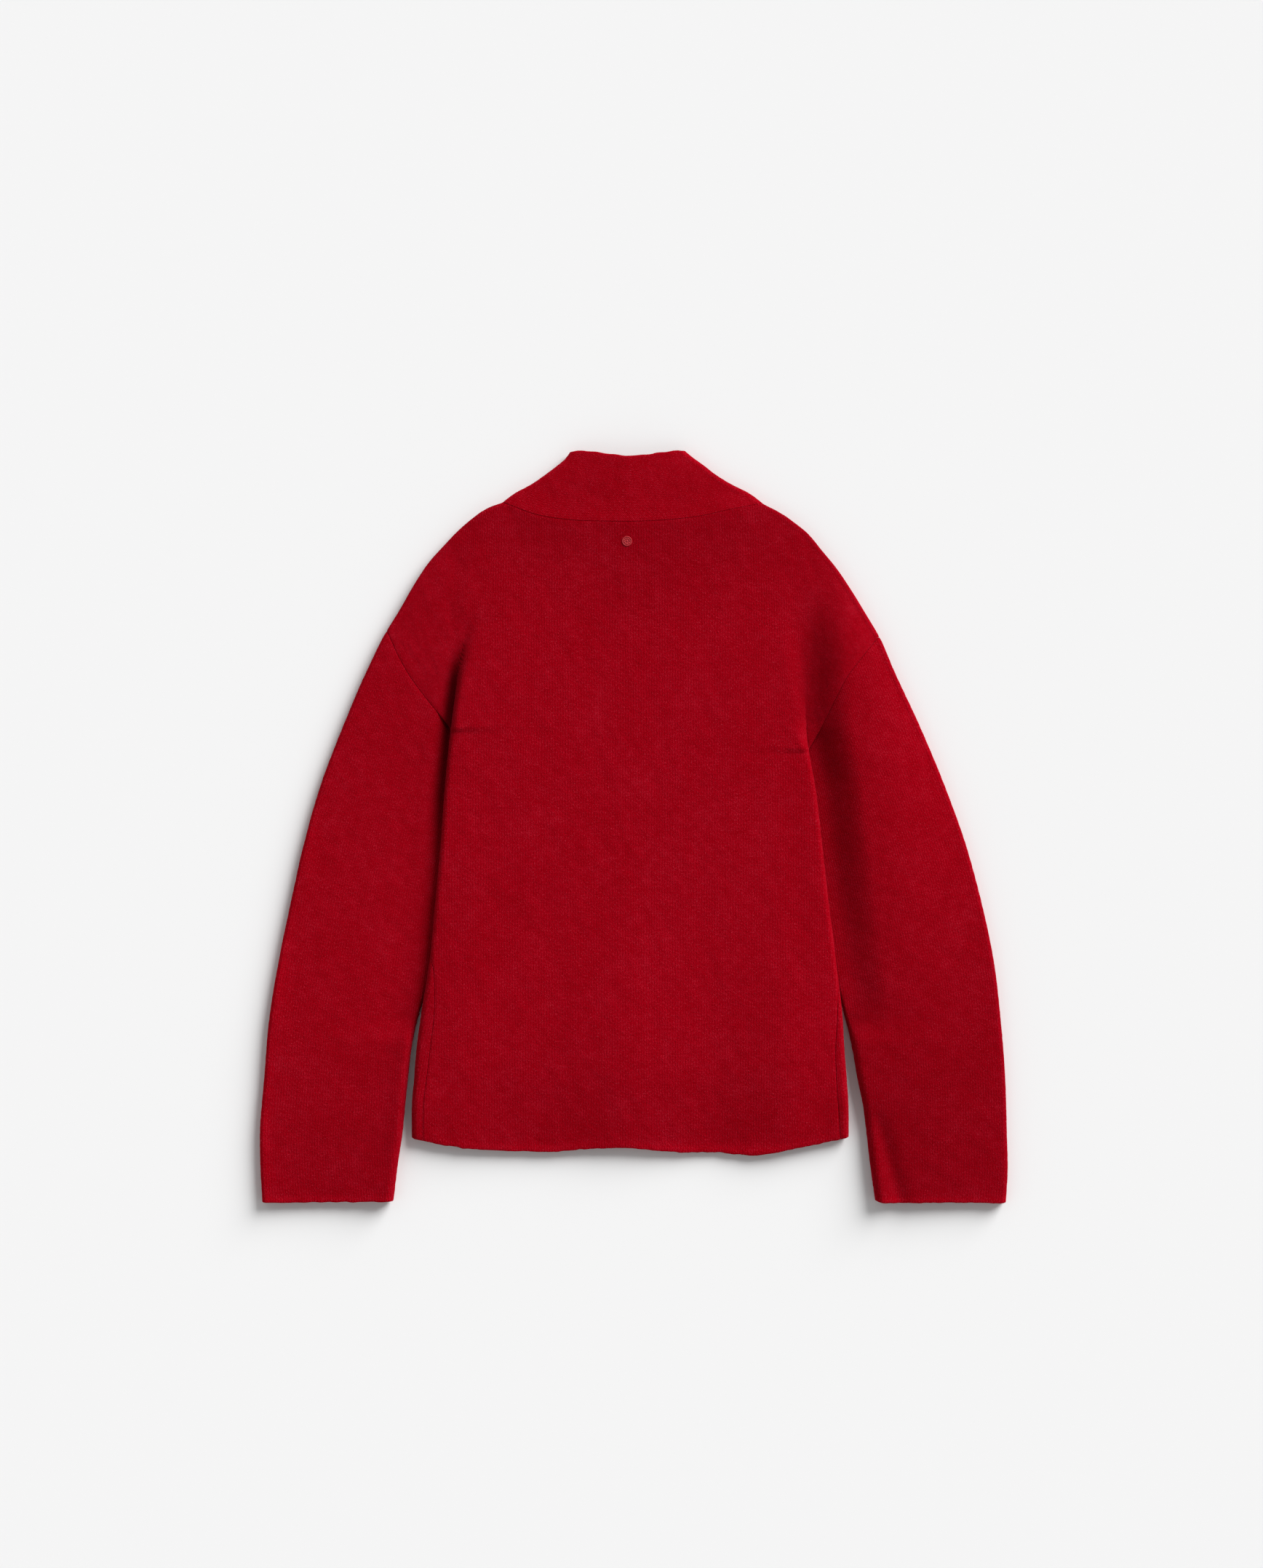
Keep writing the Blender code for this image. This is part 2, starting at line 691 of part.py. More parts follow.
def shoulder_top(side, out):
    """Level of the edge fold's middle line over a point of the shoulder."""
    line = outer[side]
    above = line[:, 1] >= tips[side][1] - 0.01
    xs = side * line[above, 0]
    order = np.argsort(xs)
    return float(np.interp(out, xs[order], line[above, 1][order]))


def panel_rows(chart, tops, on_shoulder, levels_at, upper_layer):
    """Grid of one body panel, as rows from the shoulder to the hem."""
    columns = []
    for i, top in enumerate(tops):
        x_low, _ = chart(i, HEM_LEVEL)
        cross, underarm, hem = levels_at(x_low)
        levels = row_levels(top, cross, underarm, hem(x_low))
        if on_shoulder[i]:
            levels[1] = levels[0]
        x, z = chart(i, levels)
        d = distance_to(edge_lines, x, levels)
        z = edge_drop(z, d) if upper_layer else edge_lift(z, d)
        if on_shoulder[i]:
            turn = 1 if upper_layer else -1
            at_neck = abs(x[0]) < BACK_NECK[-1][0] + GAP
            z[0] = EDGE_MID + turn * (CORNER_LIP if at_neck else GAP / 2)
            z[1] = EDGE_MID + turn * FOLD_FLAT
        columns.append(np.column_stack((x, levels, z)))
    return [[one[j] for one in columns] for j in range(len(columns[0]))]


def back_columns():
    """Places of the back's columns along its upper edge, and those in the middle as shares."""
    middle = [BACK_NECK[0][0]] + list(NECK_COLUMNS) + [BACK_NECK[-1][0]]
    first = tips[LEFT][0] + SIDE_COLUMNS[-1]
    last = tips[RIGHT][0] - SIDE_COLUMNS[-1]
    places = [tips[LEFT][0] + step for step in SIDE_COLUMNS] + middle
    places += [tips[RIGHT][0] - step for step in reversed(SIDE_COLUMNS)]
    return places, [(x - first) / (last - first) for x in middle]


def back_rows():
    places, middle = back_columns()

    def section(y):
        left_out, left_z, left_places = back_half(LEFT, y)
        right_out, right_z, right_places = back_half(RIGHT, y)
        x = np.concatenate((-left_out, right_out[::-1][1:]))
        z = np.concatenate((left_z, right_z[::-1][1:]))
        return x, z, y, left_places, right_places, middle

    tops = []
    on_shoulder = []
    for x in places:
        side = LEFT if x < 0 else RIGHT
        shoulder = abs(x) > BACK_NECK[-1][0] - GAP
        on_shoulder.append(shoulder)
        tops.append(shoulder_top(side, abs(x)) if shoulder else float(back_neck_y(x)))

    def levels_at(x):
        share = float(smooth(-LEVEL_BLEND, LEVEL_BLEND, x))
        cross = crossing_y[LEFT] + (crossing_y[RIGHT] - crossing_y[LEFT]) * share
        underarm = UNDERARM[LEFT][1] + (UNDERARM[RIGHT][1] - UNDERARM[LEFT][1]) * share
        return cross, underarm, lambda x: float(hem_y(x))

    return panel_rows(body_chart(section), tops, on_shoulder, levels_at, True)


def front_columns(side):
    """Out of a front's columns along its upper edge, from the tip to the centre."""
    start = side * tips[side][0]
    places = [start - step for step in SIDE_COLUMNS]
    places += [row[0] for row in FRONT_NECK[:-1]]
    edge = side * CENTRE_X - LAP / 2
    return places + [(places[-1] + edge) / 2, edge]


def along_front_neck(index, out):
    keys = [row[0] for row in FRONT_NECK][::-1]
    values = [row[index] for row in FRONT_NECK][::-1]
    return float(np.interp(out, keys, values))


def front_rows(side):
    places = front_columns(side)
    count = len(SIDE_COLUMNS)
    width = places[count - 1] - places[-1]
    middle = [(places[count - 1] - out) / width for out in places[count:]]

    def section(y):
        out, z, first = front_half(side, y, places[-1])
        return side * out, z, y, first, np.zeros(0), middle

    neck_out = FRONT_NECK[0][0] - GAP
    on_shoulder = [out >= neck_out for out in places]
    tops = [shoulder_top(side, out) if out >= neck_out else along_front_neck(1, out)
            for out in places]

    def hem(x):
        inside = 1 - smooth(150.0, 185.0, abs(x))
        return float(hem_y(x) + FRONT_HEM_RISE * inside)

    def levels_at(_):
        return crossing_y[side], UNDERARM[side][1], hem

    rows = panel_rows(body_chart(section), tops, on_shoulder, levels_at, False)
    if side == RIGHT:
        return [row[::-1] for row in rows]
    return rows


# ---- Sleeves ------------------------------------------------------------------------------------

def sleeve_edges(side):
    """Middle lines of the sleeve's outer and inner edge folds, from armhole to cuff."""
    line = outer[side]
    start = np.argmin(np.linalg.norm(line - tips[side], axis=1))
    index = 1 if side == LEFT else 2
    underarm_out, underarm_y = UNDERARM[side]
    across = np.array((underarm_out - side * tips[side][0], underarm_y - tips[side][1]))
    across /= np.linalg.norm(across)
    first = np.array((underarm_out, underarm_y)) + across * TUCK_R
    inner = [(row[index], row[0]) for row in SLEEVE_INNER[1:]]
    inner = shifted(smooth_line(inner, 1.0), HALF)
    inner = smooth_line([first] + list(inner[8::8]), 1.0)
    inner[:, 0] *= side
    return line[start:], inner


def sleeve_rings(side):
    """Rings of the sleeve from the armhole to the cuff; each closes on itself."""
    outer_edge, inner_edge = sleeve_edges(side)
    levels = row_levels(tips[side][1], crossing_y[side], UNDERARM[side][1], HEM_LEVEL)
    levels = levels[1:UNDERARM_ROW + 1]
    levels[0] = tips[side][1]
    seam = np.column_stack((side * boundary_out(side, levels), levels))
    run = lengths(seam)
    shares = run / run[-1]
    heading = line_at(outer_edge, 0.02) - outer_edge[0]
    heading /= np.linalg.norm(heading)
    total = lengths(outer_edge)[-1]
    stations = [0.0, STRIP / total, 9.0 / total, 24.0 / total]
    stations += list(np.linspace(stations[-1], 1.0, SLEEVE_STATIONS - 3)[1:])
    rings = []
    for w in stations:
        start = line_at(outer_edge, w)
        end = line_at(inner_edge, w)
        across = end - start
        width = np.linalg.norm(across)
        across /= width
        y_in = end[1]
        radius = float(inner_radius(y_in))
        reach = width - radius
        fixed = np.array((0.0,) + TOP_ROWS)
        rest = np.linspace(fixed[-1], reach, len(shares) - len(fixed) + 1)[1:]
        wanted = np.concatenate((fixed, rest))
        blend = smooth(0.0, 0.16, w)
        e = shares * reach + (wanted - shares * reach) * blend
        plan = start + e[:, None] * across
        chord = seam[0] + shares[:, None] * (seam[-1] - seam[0])
        plan = plan + (seam - chord) * (1 - smooth(0.0, 0.22, w))
        room = GAP + CORNER_GAP * np.exp(-run / TIP_REACH)
        room += CREASE_GAP * np.exp(-((levels - crossing_y[side]) / CREASE_REACH) ** 2)
        plan = plan + heading * room[:, None] * (1 - smooth(0.0, 0.1, w))
        x = plan[:, 0]
        y = plan[:, 1]
        top = sleeve_top(side, x, y)
        top[0] = EDGE_MID + FOLD_FLAT
        d = distance_to(edge_lines, x, y)
        low = edge_lift(np.full(len(x), HALF), d)
        low[0] = EDGE_MID - FOLD_FLAT
        ring = [(x[j], y[j], top[j]) for j in range(len(x))]
        last = plan[-1]
        top_z = top[-1]
        middle = (top_z + low[-1]) / 2
        half = (top_z - low[-1]) / 2
        for angle in (50.0, 0.0, -50.0):
            turn = math.radians(angle)
            point = last + across * radius * math.cos(turn)
            ring.append((point[0], point[1], middle + half * math.sin(turn)))
        ring += [(x[j], y[j], low[j]) for j in reversed(range(len(x)))]
        rings.append(ring)
    return rings


# ---- Collar -----------------------------------------------------------------------------

def collar_edge(side, x, on_back):
    """Point of the collar's free edge over a point x of the neck seam."""
    left = collar_side[LEFT][-1][0]
    right = collar_side[RIGHT][-1][0]
    top = column(COLLAR_TOP, 1)
    if on_back:
        share = (x - BACK_NECK[0][0]) / (BACK_NECK[-1][0] - BACK_NECK[0][0])
        share += EDGE_CROWDING * math.sin(2 * math.pi * share) / (2 * math.pi)
        edge_x = left + (right - left) * share
        return np.array((edge_x, float(top(edge_x))))
    corner_x = left if side == LEFT else right
    out = along_front_neck(2, side * x)
    near = float(smooth(20.0, FRONT_NECK[0][2], out))
    grow = 1 + (abs(corner_x) / FRONT_NECK[0][2] - 1) * near
    rise = (float(top(corner_x)) - FRONT_NECK[0][3]) * near
    return np.array((side * out * grow, along_front_neck(3, side * x) + rise))


def collar_column(side, base, on_back):
    """One column of the collar, from its seam to its free edge."""
    edge = collar_edge(side, base[0], on_back)
    fold = collar_side[side]
    corner = np.array((side * FRONT_NECK[0][0], shoulder_top(side, FRONT_NECK[0][0])))
    near = math.exp(-np.linalg.norm(base - corner) / CORNER_REACH)
    away = edge - base
    length = np.linalg.norm(away)
    start = base + away / length * (GAP + CORNER_GAP * near)
    shares = np.array((0.0, STRIP / length) + COLLAR_SHARES)
    plan = start + shares[:, None] * (edge - start)
    last = fold[-1]
    straight = corner + shares[:, None] * (last - corner)
    curved = np.array([line_at(fold, share) for share in shares])
    curved += (corner - fold[0]) * (1 - shares[:, None]) ** 4
    plan = plan + (curved - straight) * near
    x = plan[:, 0]
    y = plan[:, 1]
    d = distance_to(edge_lines[2:], x, y)
    if near > AT_CORNER:
        d = np.zeros(len(x))
    if on_back:
        z = edge_drop(body_height(y), d)
    else:
        rise = front_height(side, side * x, y) - HALF
        z = edge_lift(HALF + rise * smooth(EDGE_R, COLLAR_RISE, d), d)
    return np.column_stack((x, y, z))


def collar_rows(back, front_left, front_right):
    """Rows of the collar from the seam to its free edge; it runs round from end to end."""
    limit = FRONT_NECK[0][0] + GAP
    left = [p[:2] for p in front_left[0] if p[0] > -limit]
    right = [p[:2] for p in front_right[0] if p[0] < limit]
    middle = [p[:2] for p in back[0] if abs(p[0]) < limit]
    columns = [collar_column(LEFT, base, False) for base in left[::-1]]
    columns += [collar_column(LEFT if base[0] < 0 else RIGHT, base, True) for base in middle]
    columns += [collar_column(RIGHT, base, False) for base in right[::-1]]
    return [[one[j] for one in columns] for j in range(len(columns[0]))]


# ---- Buttons and stud -----------------------------------------------------------------------

def button_profile():
    """Half section of a button and its sewn shank, from the top of the shank down."""
    top = BUTTON_T
    reach = BUTTON_R
    return (
        (0.0, top + WALL + GAP),
        (SHANK_R, top + WALL + GAP),
        (SHANK_R, top),
        (reach - BUTTON_ROUND, top),
        (reach, top - BUTTON_ROUND),
        (reach, BUTTON_ROUND),
        (reach - BUTTON_ROUND, 0.0),
        (0.0, 0.0),
    )


def stud_profile():
    """Half section of the nape stud, a disc with a raised round rim."""
    soft = STUD_SINK * 0.5
    return (
        (0.0, STUD_T - STUD_SINK),
        (STUD_RING - STUD_SINK, STUD_T - STUD_SINK),
        (STUD_RING, STUD_T - soft),
        (STUD_RING + soft, STUD_T),
        (STUD_R - soft, STUD_T),
        (STUD_R, STUD_T - 2 * soft),
        (STUD_R, 0.0),
        (0.0, 0.0),
    )


def turned_mesh(name, profile, colour):
    verts = [(r * MM, 0.0, z * MM) for r, z in profile]
    edges = [(i, i + 1) for i in range(len(verts) - 1)]
    mesh = bpy.data.meshes.new(name)
    mesh.from_pydata(verts, edges, [])
    mesh.materials.append(material(name, colour, 0.45))
    return mesh


def turned(name, mesh, place, collection):
    """A turned part from a half section, standing at a place in millimetres."""
    obj = bpy.data.objects.new(name, mesh)
    collection.objects.link(obj)
    obj.location = [c * MM for c in place]
    spin = obj.modifiers.new("turn", "SCREW")
    spin.steps = CIRCLE_STEPS
    spin.render_steps = CIRCLE_STEPS
    spin.use_merge_vertices = True
    spin.merge_threshold = 0.00001
    spin.use_smooth_shade = True
    return obj


def cut_slots(panel, name, levels, cutters):
    """Cut upright buttonholes through the panel at the given levels."""
    verts = []
    faces = []
    half_width = SLOT_WIDTH / 2
    half_length = SLOT_LENGTH / 2
    low = BUTTON_T - GAP
    high = BUTTON_T + GAP + WALL + GAP / 2
    for level in levels:
        base = len(verts)
        for z in (low, high):
            for dx, dy in ((-1, -1), (1, -1), (1, 1), (-1, 1)):
                x = CENTRE_X + dx * half_width
                verts.append((x * MM, (level + dy * half_length) * MM, z * MM))
        for face in ((3, 2, 1, 0), (4, 5, 6, 7), (0, 1, 5, 4),
                     (1, 2, 6, 5), (2, 3, 7, 6), (3, 0, 4, 7)):
            faces.append([base + k for k in face])
    mesh = bpy.data.meshes.new(name)
    mesh.from_pydata(verts, [], faces)
    cutter = bpy.data.objects.new(name, mesh)
    cutters.objects.link(cutter)
    cutter.hide_render = True
    cutter.display_type = "WIRE"
    hole = panel.modifiers.new("buttonholes", "BOOLEAN")
    hole.operation = "DIFFERENCE"
    hole.solver = "EXACT"
    hole.object = cutter


# ---- Meshes ---------------------------------------------------------------------------------

def material(name, colour, roughness):
    made = bpy.data.materials.new(name)
    made.use_nodes = True
    shader = made.node_tree.nodes["Principled BSDF"]
    shader.inputs["Base Color"].default_value = colour
    shader.inputs["Roughness"].default_value = roughness
    shader.inputs["Metallic"].default_value = 0.0
    return made


def sheet(name, rows, colour, collection, closed=False, face_down=False):
    """A panel from a grid of points in millimetres, thickened to the cloth's wall."""
    width = len(rows[0])
    verts = [tuple(c * MM for c in point) for row in rows for point in row]
    faces = []
    for j in range(len(rows) - 1):
        for i in range(width if closed else width - 1):
            k = (i + 1) % width
            faces.append((j * width + i, (j + 1) * width + i,
                          (j + 1) * width + k, j * width + k))
    if face_down:
        faces = [face[::-1] for face in faces]
    mesh = bpy.data.meshes.new(name)
    mesh.from_pydata(verts, [], faces)
    mesh.materials.append(material(name, colour, 0.9))
    mesh.shade_smooth()
    obj = bpy.data.objects.new(name, mesh)
    collection.objects.link(obj)
    wall = obj.modifiers.new("wall", "SOLIDIFY")
    wall.thickness = WALL * MM
    wall.offset = 0.0
    wall.use_quality_normals = True
    return obj


def main():
    for obj in list(bpy.data.objects):
        bpy.data.objects.remove(obj, do_unlink=True)
    parts = bpy.data.collections.new("button_cardigan")
    cutters = bpy.data.collections.new("cutters")
    bpy.context.scene.collection.children.link(parts)
    bpy.context.scene.collection.children.link(cutters)
    back = back_rows()
    front_left = front_rows(LEFT)
    front_right = front_rows(RIGHT)
    sheet("back", back, RED, parts)
    sheet("front_left", front_left, RED, parts)
    buttonhole_front = sheet("front_right", front_right, RED, parts, face_down=True)
    sheet("sleeve_left", sleeve_rings(LEFT), RED, parts, closed=True)
    sheet("sleeve_right", sleeve_rings(RIGHT), RED, parts, closed=True)
    collar = sheet("collar", collar_rows(back, front_left, front_right), COLLAR_RED, parts)
    levels = [TOP_BUTTON_Y - i * BUTTON_PITCH for i in range(BUTTON_COUNT)]
    button = turned_mesh("button", button_profile(), BUTTON_RED)
    for i, level in enumerate(levels):
        turned("button_%d" % (i + 1), button, (CENTRE_X, level, 0.0), parts)
    cut_slots(collar, "collar_slot", levels[:1], cutters)
    cut_slots(buttonhole_front, "front_slots", levels[1:], cutters)
    stud_z = float(body_height(STUD_Y)) + HALF + GAP
    stud_mesh = turned_mesh("nape_stud", stud_profile(), STUD_RED)
    stud = turned("nape_stud", stud_mesh, (STUD_X, STUD_Y, stud_z), parts)
    slope = (body_height(STUD_Y + STUD_R) - body_height(STUD_Y - STUD_R)) / (2 * STUD_R)
    stud.rotation_euler = (math.atan(float(slope)), 0.0, 0.0)


main()
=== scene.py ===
"""Looks of the button cardigan: heavy red knit, lying face down with its back up."""
import math

import bpy
import numpy as np
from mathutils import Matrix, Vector


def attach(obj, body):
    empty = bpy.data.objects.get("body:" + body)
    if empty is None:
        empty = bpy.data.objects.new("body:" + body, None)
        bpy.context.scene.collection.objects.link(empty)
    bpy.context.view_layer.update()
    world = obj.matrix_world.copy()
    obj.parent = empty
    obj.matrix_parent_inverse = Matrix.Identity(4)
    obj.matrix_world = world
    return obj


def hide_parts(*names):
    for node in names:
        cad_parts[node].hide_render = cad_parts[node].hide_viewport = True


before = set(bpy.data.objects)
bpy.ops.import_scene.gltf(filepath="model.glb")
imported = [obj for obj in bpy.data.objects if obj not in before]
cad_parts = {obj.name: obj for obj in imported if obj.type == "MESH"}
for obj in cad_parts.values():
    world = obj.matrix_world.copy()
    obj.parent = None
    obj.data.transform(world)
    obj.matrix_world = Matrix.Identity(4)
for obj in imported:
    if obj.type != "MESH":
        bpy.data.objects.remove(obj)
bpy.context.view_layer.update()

MM = 0.001
LEFT = -1
RIGHT = 1
SIDES = (LEFT, RIGHT)
SIDE_COLUMN = {LEFT: 1, RIGHT: 2}  # column of each side in the tables that hold both

# Cloth
WALL = 3.0                    # thickness of the felted knit
HALF = WALL / 2
GAP = 0.08                    # between pieces at a seam, and between layers
SIDE_GAP = 0.05               # at the side seams, which run round the fold of the side
EDGE_R = 4.0                  # middle radius of the fold along shoulders and sleeves
SIDE_R = 3.4                  # middle radius of the fold along the body's sides
TUCK_R = 2.0                  # middle radius of a sleeve edge pressed under the body
FREE_R = {LEFT: 5.0, RIGHT: 5.8}  # and of the edge below the body's underarm
FREE_EDGE = (-205.0, -178.0)  # it is free below the first level and pressed above the second
SQUARE = 2.5                  # power of an edge fold's section; 2 is round
FOLD_FLAT = 1.5               # half height of the upright part of an edge fold
EDGE_MID = HALF + EDGE_R      # height of the middle of an edge fold
BODY_LIFT = 2 * TUCK_R + WALL + GAP  # rise of the body's sides over the pressed sleeves
EDGE_REACH = 25.0             # how fast the cloth rises inside the outline
INNER_REACH = 30.0            # and a sleeve inside its inner edge
BODY_REACH = 24.0             # and the back inside the folds of its sides

# Outline of the shoulders: out, y on the left, y on the right
SHOULDERS = (
    (121.0, 302.6, 301.2),
    (136.0, 297.2, 293.8),
    (150.0, 287.4, 284.0),
    (163.0, 276.2, 273.5),
    (177.0, 261.6, 256.8),
    (190.0, 247.2, 241.0),
    (204.0, 226.4, 220.3),
    (218.0, 202.0, 197.4),
    (230.4, 181.7, 176.3),
)

# Outer edges of the sleeves: y, out on the left, out on the right
SLEEVE_OUTER = (
    (146.0, 248.2, 243.5),
    (92.0, 271.3, 268.5),
    (37.0, 292.2, 291.4),
    (-17.0, 307.6, 310.8),
    (-71.0, 319.7, 325.5),
    (-126.0, 331.0, 337.1),
    (-180.0, 339.9, 343.5),
    (-235.0, 344.6, 347.8),
    (-289.0, 348.7, 349.4),
    (-320.0, 348.1, 350.2),
    (-352.4, 346.4, 348.4),
)

# Inner edges of the sleeves, under the body down to about y = -165: y, left, right
SLEEVE_INNER = (
    (51.0, 146.0, 143.5),
    (-17.0, 161.0, 158.5),
    (-71.0, 174.0, 172.0),
    (-126.0, 186.0, 184.5),
    (-153.0, 192.5, 191.3),
    (-180.0, 201.3, 198.5),
    (-207.0, 206.7, 204.5),
    (-235.0, 210.1, 209.4),
    (-262.0, 212.8, 214.9),
    (-289.0, 215.6, 218.3),
    (-316.0, 219.6, 221.4),
    (-351.6, 224.0, 226.5),
)
CUFF_INNER_Y = {LEFT: -351.4, RIGHT: -352.2}  # where that edge ends at the cuff

# Armhole seams from the shoulder tip to the underarm: left out, left y, right out, right y
ARMHOLES = (
    (230.4, 181.7, 230.4, 176.3),
    (218.3, 157.1, 214.2, 157.8),
    (208.1, 139.4, 200.0, 139.4),
    (193.1, 119.0, 190.4, 121.0),
    (181.6, 104.7, 182.2, 104.0),
    (171.0, 91.0, 171.0, 83.0),
    (158.0, 72.0, 158.0, 60.5),
    (146.0, 51.0, 146.0, 41.0),
)

# Side edges of the body, and above the underarm the crease in the back: y, left, right
BODY_SIDES = (
    (240.0, 150.0, 164.0),
    (200.0, 153.5, 164.0),
    (170.0, 158.0, 164.0),
    (146.0, 162.5, 163.0),
    (119.0, 166.5, 162.0),
    (92.0, 170.0, 162.0),
    (65.0, 172.8, 165.0),
    (37.0, 175.5, 170.0),
    (-17.0, 179.5, 176.5),
    (-71.0, 184.5, 182.5),
    (-126.0, 190.0, 189.5),
    (-180.0, 198.4, 195.8),
    (-207.0, 202.0, 197.3),
    (-235.0, 204.2, 199.4),
    (-262.0, 206.5, 201.2),
    (-292.0, 206.8, 201.6),
)

# Side seams: y, length along the cloth from the edge of the body on the left and on the
# right; positive on the back's face, negative on the underside
SIDE_SEAMS = (
    (51.0, -30.2, -26.8),
    (-17.0, -22.0, -19.2),
    (-71.0, -12.0, -12.5),
    (-112.0, -1.0, -3.4),
    (-140.0, 7.0, 1.0),
    (-172.0, 12.5, 5.0),
    (-207.0, 13.5, 9.0),
    (-250.0, 11.5, 10.5),
    (-292.0, 11.0, 8.5),
)

# Lower edge of the back: x, y
HEM = (
    (-207.0, -292.0),
    (-180.0, -297.8),
    (-152.0, -301.9),
    (-112.0, -304.0),
    (-71.0, -304.5),
    (-43.0, -302.0),
    (-3.0, -301.2),
    (38.0, -305.0),
    (79.0, -305.5),
    (120.0, -308.0),
    (147.0, -302.6),
    (174.0, -297.2),
    (202.0, -291.2),
)
FRONT_HEM_RISE = 3.0          # the fronts' hem lies this much inside the back's

# Collar seam across the back neck: x, y
BACK_NECK = (
    (-121.0, 302.0),
    (-93.0, 291.2),
    (-57.0, 285.3),
    (-25.0, 284.2),
    (8.0, 284.2),
    (42.0, 286.4),
    (64.5, 289.4),
    (87.0, 294.4),
    (121.0, 301.2),
)

# Front neckline and the collar's free edge over it: out, y, out of the edge, y of the edge
FRONT_NECK = (
    (121.0, 301.5, 57.0, 350.0),
    (118.9, 294.6, 56.7, 341.0),
    (114.0, 280.0, 56.0, 322.0),
    (104.0, 256.0, 53.0, 299.0),
    (91.0, 234.0, 48.0, 280.0),
    (75.0, 215.0, 41.0, 266.0),
    (57.0, 201.0, 33.0, 256.5),
    (38.0, 192.5, 25.0, 251.0),
    (20.0, 188.5, 16.0, 248.6),
    (-30.0, 187.0, -30.0, 248.0),
)

# Sides of the collar from the shoulder up: left x, left y, right x, right y
COLLAR_SIDES = (
    (-121.0, 303.6, 119.0, 302.6),
    (-110.8, 310.8, 108.1, 310.8),
    (-95.2, 318.9, 91.8, 318.9),
    (-83.0, 327.1, 78.0, 327.1),
    (-72.1, 335.2, 66.5, 335.8),
    (-62.6, 343.4, 53.8, 345.0),
    (-57.6, 350.6, 46.4, 351.2),
)

# Free edge of the collar's back half: x, y
COLLAR_TOP = (
    (-58.0, 350.2),
    (-40.8, 349.5),
    (-13.6, 346.1),
    (0.0, 345.4),
    (27.2, 348.6),
    (49.8, 351.4),
)

# Heights of the upper layer's middle: y, body, sleeves
HEIGHTS = (
    (352.0, 14.5, 10.0),
    (300.0, 15.6, 12.5),
    (250.0, 16.4, 13.5),
    (200.0, 16.8, 13.5),
    (150.0, 17.2, 12.4),
    (84.0, 17.5, 11.4),
    (-71.0, 17.5, 10.9),
    (-150.0, 17.2, 10.7),
    (-200.0, 16.6, 10.4),
    (-235.0, 14.8, 10.0),
    (-270.0, 10.8, 9.6),
    (-300.0, 7.0, 8.8),
    (-352.0, 7.0, 7.2),
)

# Crease beside the body above the underarm, where it fades into the back: height above
# the point where the armhole seam goes under the body, then on the left and on the right
# the lowest heights of the back and of the sleeve and the width of the body's wall
CREASE = (
    (0.0, 8.8, 8.8, 5.5, 5.5, 4.5, 4.5),
    (12.0, 8.6, 9.5, 5.8, 6.5, 4.2, 8.0),
    (24.0, 8.0, 10.8, 7.8, 10.0, 4.2, 10.0),
    (35.0, 7.6, 12.0, 7.6, 12.0, 4.5, 13.0),
    (62.0, 8.4, 13.2, 8.4, 13.2, 6.0, 18.0),
    (86.0, 12.2, 13.5, 12.2, 13.5, 11.0, 20.0),
    (111.0, 16.0, 14.4, 16.0, 14.4, 35.0, 28.0),
    (155.0, 16.9, 16.5, 16.9, 16.5, 45.0, 32.0),
)
WALL_SOFT = {LEFT: (50.0, 110.0), RIGHT: (10.0, 90.0)}  # where the wall turns to a soft slope
SLEEVE_SHOULDER = {LEFT: 18.0, RIGHT: 38.0}  # run of the sleeve's slope beside the body
SLEEVE_SHELF = {LEFT: 4.0, RIGHT: 6.0}       # width pressed flat just outside the body
# Ridge of the right sleeve beside the body: level, height
RIDGE = (
    (-352.0, 3.0),
    (-280.0, 4.5),
    (-200.0, 4.8),
    (-120.0, 4.6),
    (-60.0, 6.2),
    (0.0, 7.6),
    (150.0, 8.5),
    (200.0, 5.0),
    (250.0, 0.0),
)
RIDGE_REACH = (46.0, 160.0)   # out of the body's edge to its crest and to its outer foot
LIFT_END_Y = -302.0           # the body's sides are down on the floor from here
LIFT_START_Y = -246.0
PRESS_END_Y = -212.0          # the sleeve isn't pressed down beside the body from here
PRESS_START_Y = -160.0
UNDERARM_RAMP = 18.0          # run of the fronts' rise above the underarm
INNER_RAMP = (4.0, 44.0)      # the fronts come down between these, inside the sleeve's edge

# Low waves of the back above the hem: x of the crest, width, height
HEM_WAVES = (
    (-170.0, 34.0, 1.2),
    (-10.0, 40.0, 2.6),
    (78.0, 34.0, -1.6),
    (140.0, 30.0, 1.8),
)
WAVES_START_Y = -20.0
WAVES_FULL_Y = -240.0

# Closure at the centre front, wearer's right over left
CENTRE_X = -5.0
LAP = 30.0                    # overlap of the fronts
BAND_HALF = 17.0              # half width of the flat band over the buttons
BAND_FOOT = 75.0              # the fronts are down on the floor this far from the centre
BUTTON_COUNT = 7
BUTTON_PITCH = 80.0
TOP_BUTTON_Y = 218.0          # on the collar
BUTTON_T = 3.0
SLOT_LENGTH = 21.0
SLOT_WIDTH = 3.0

# Stud at the nape
STUD_X = -5.6
STUD_Y = 265.2
STUD_R = 5.0                  # half the length over which its slope is taken

# Layout of the grids
STRIP = 0.5                   # width of the narrow strip along each seam
UNDERARM_ROOM = 0.5           # more room between front and sleeve just above the underarm
HEM_LEVEL = -295.0            # the columns' places at this level set their length
SIDE_COLUMNS = (0.0, STRIP, 4.0, 8.0, 12.0, 16.0, 20.0, 25.0, 32.0, 42.0, 55.0, 70.0, 88.0)
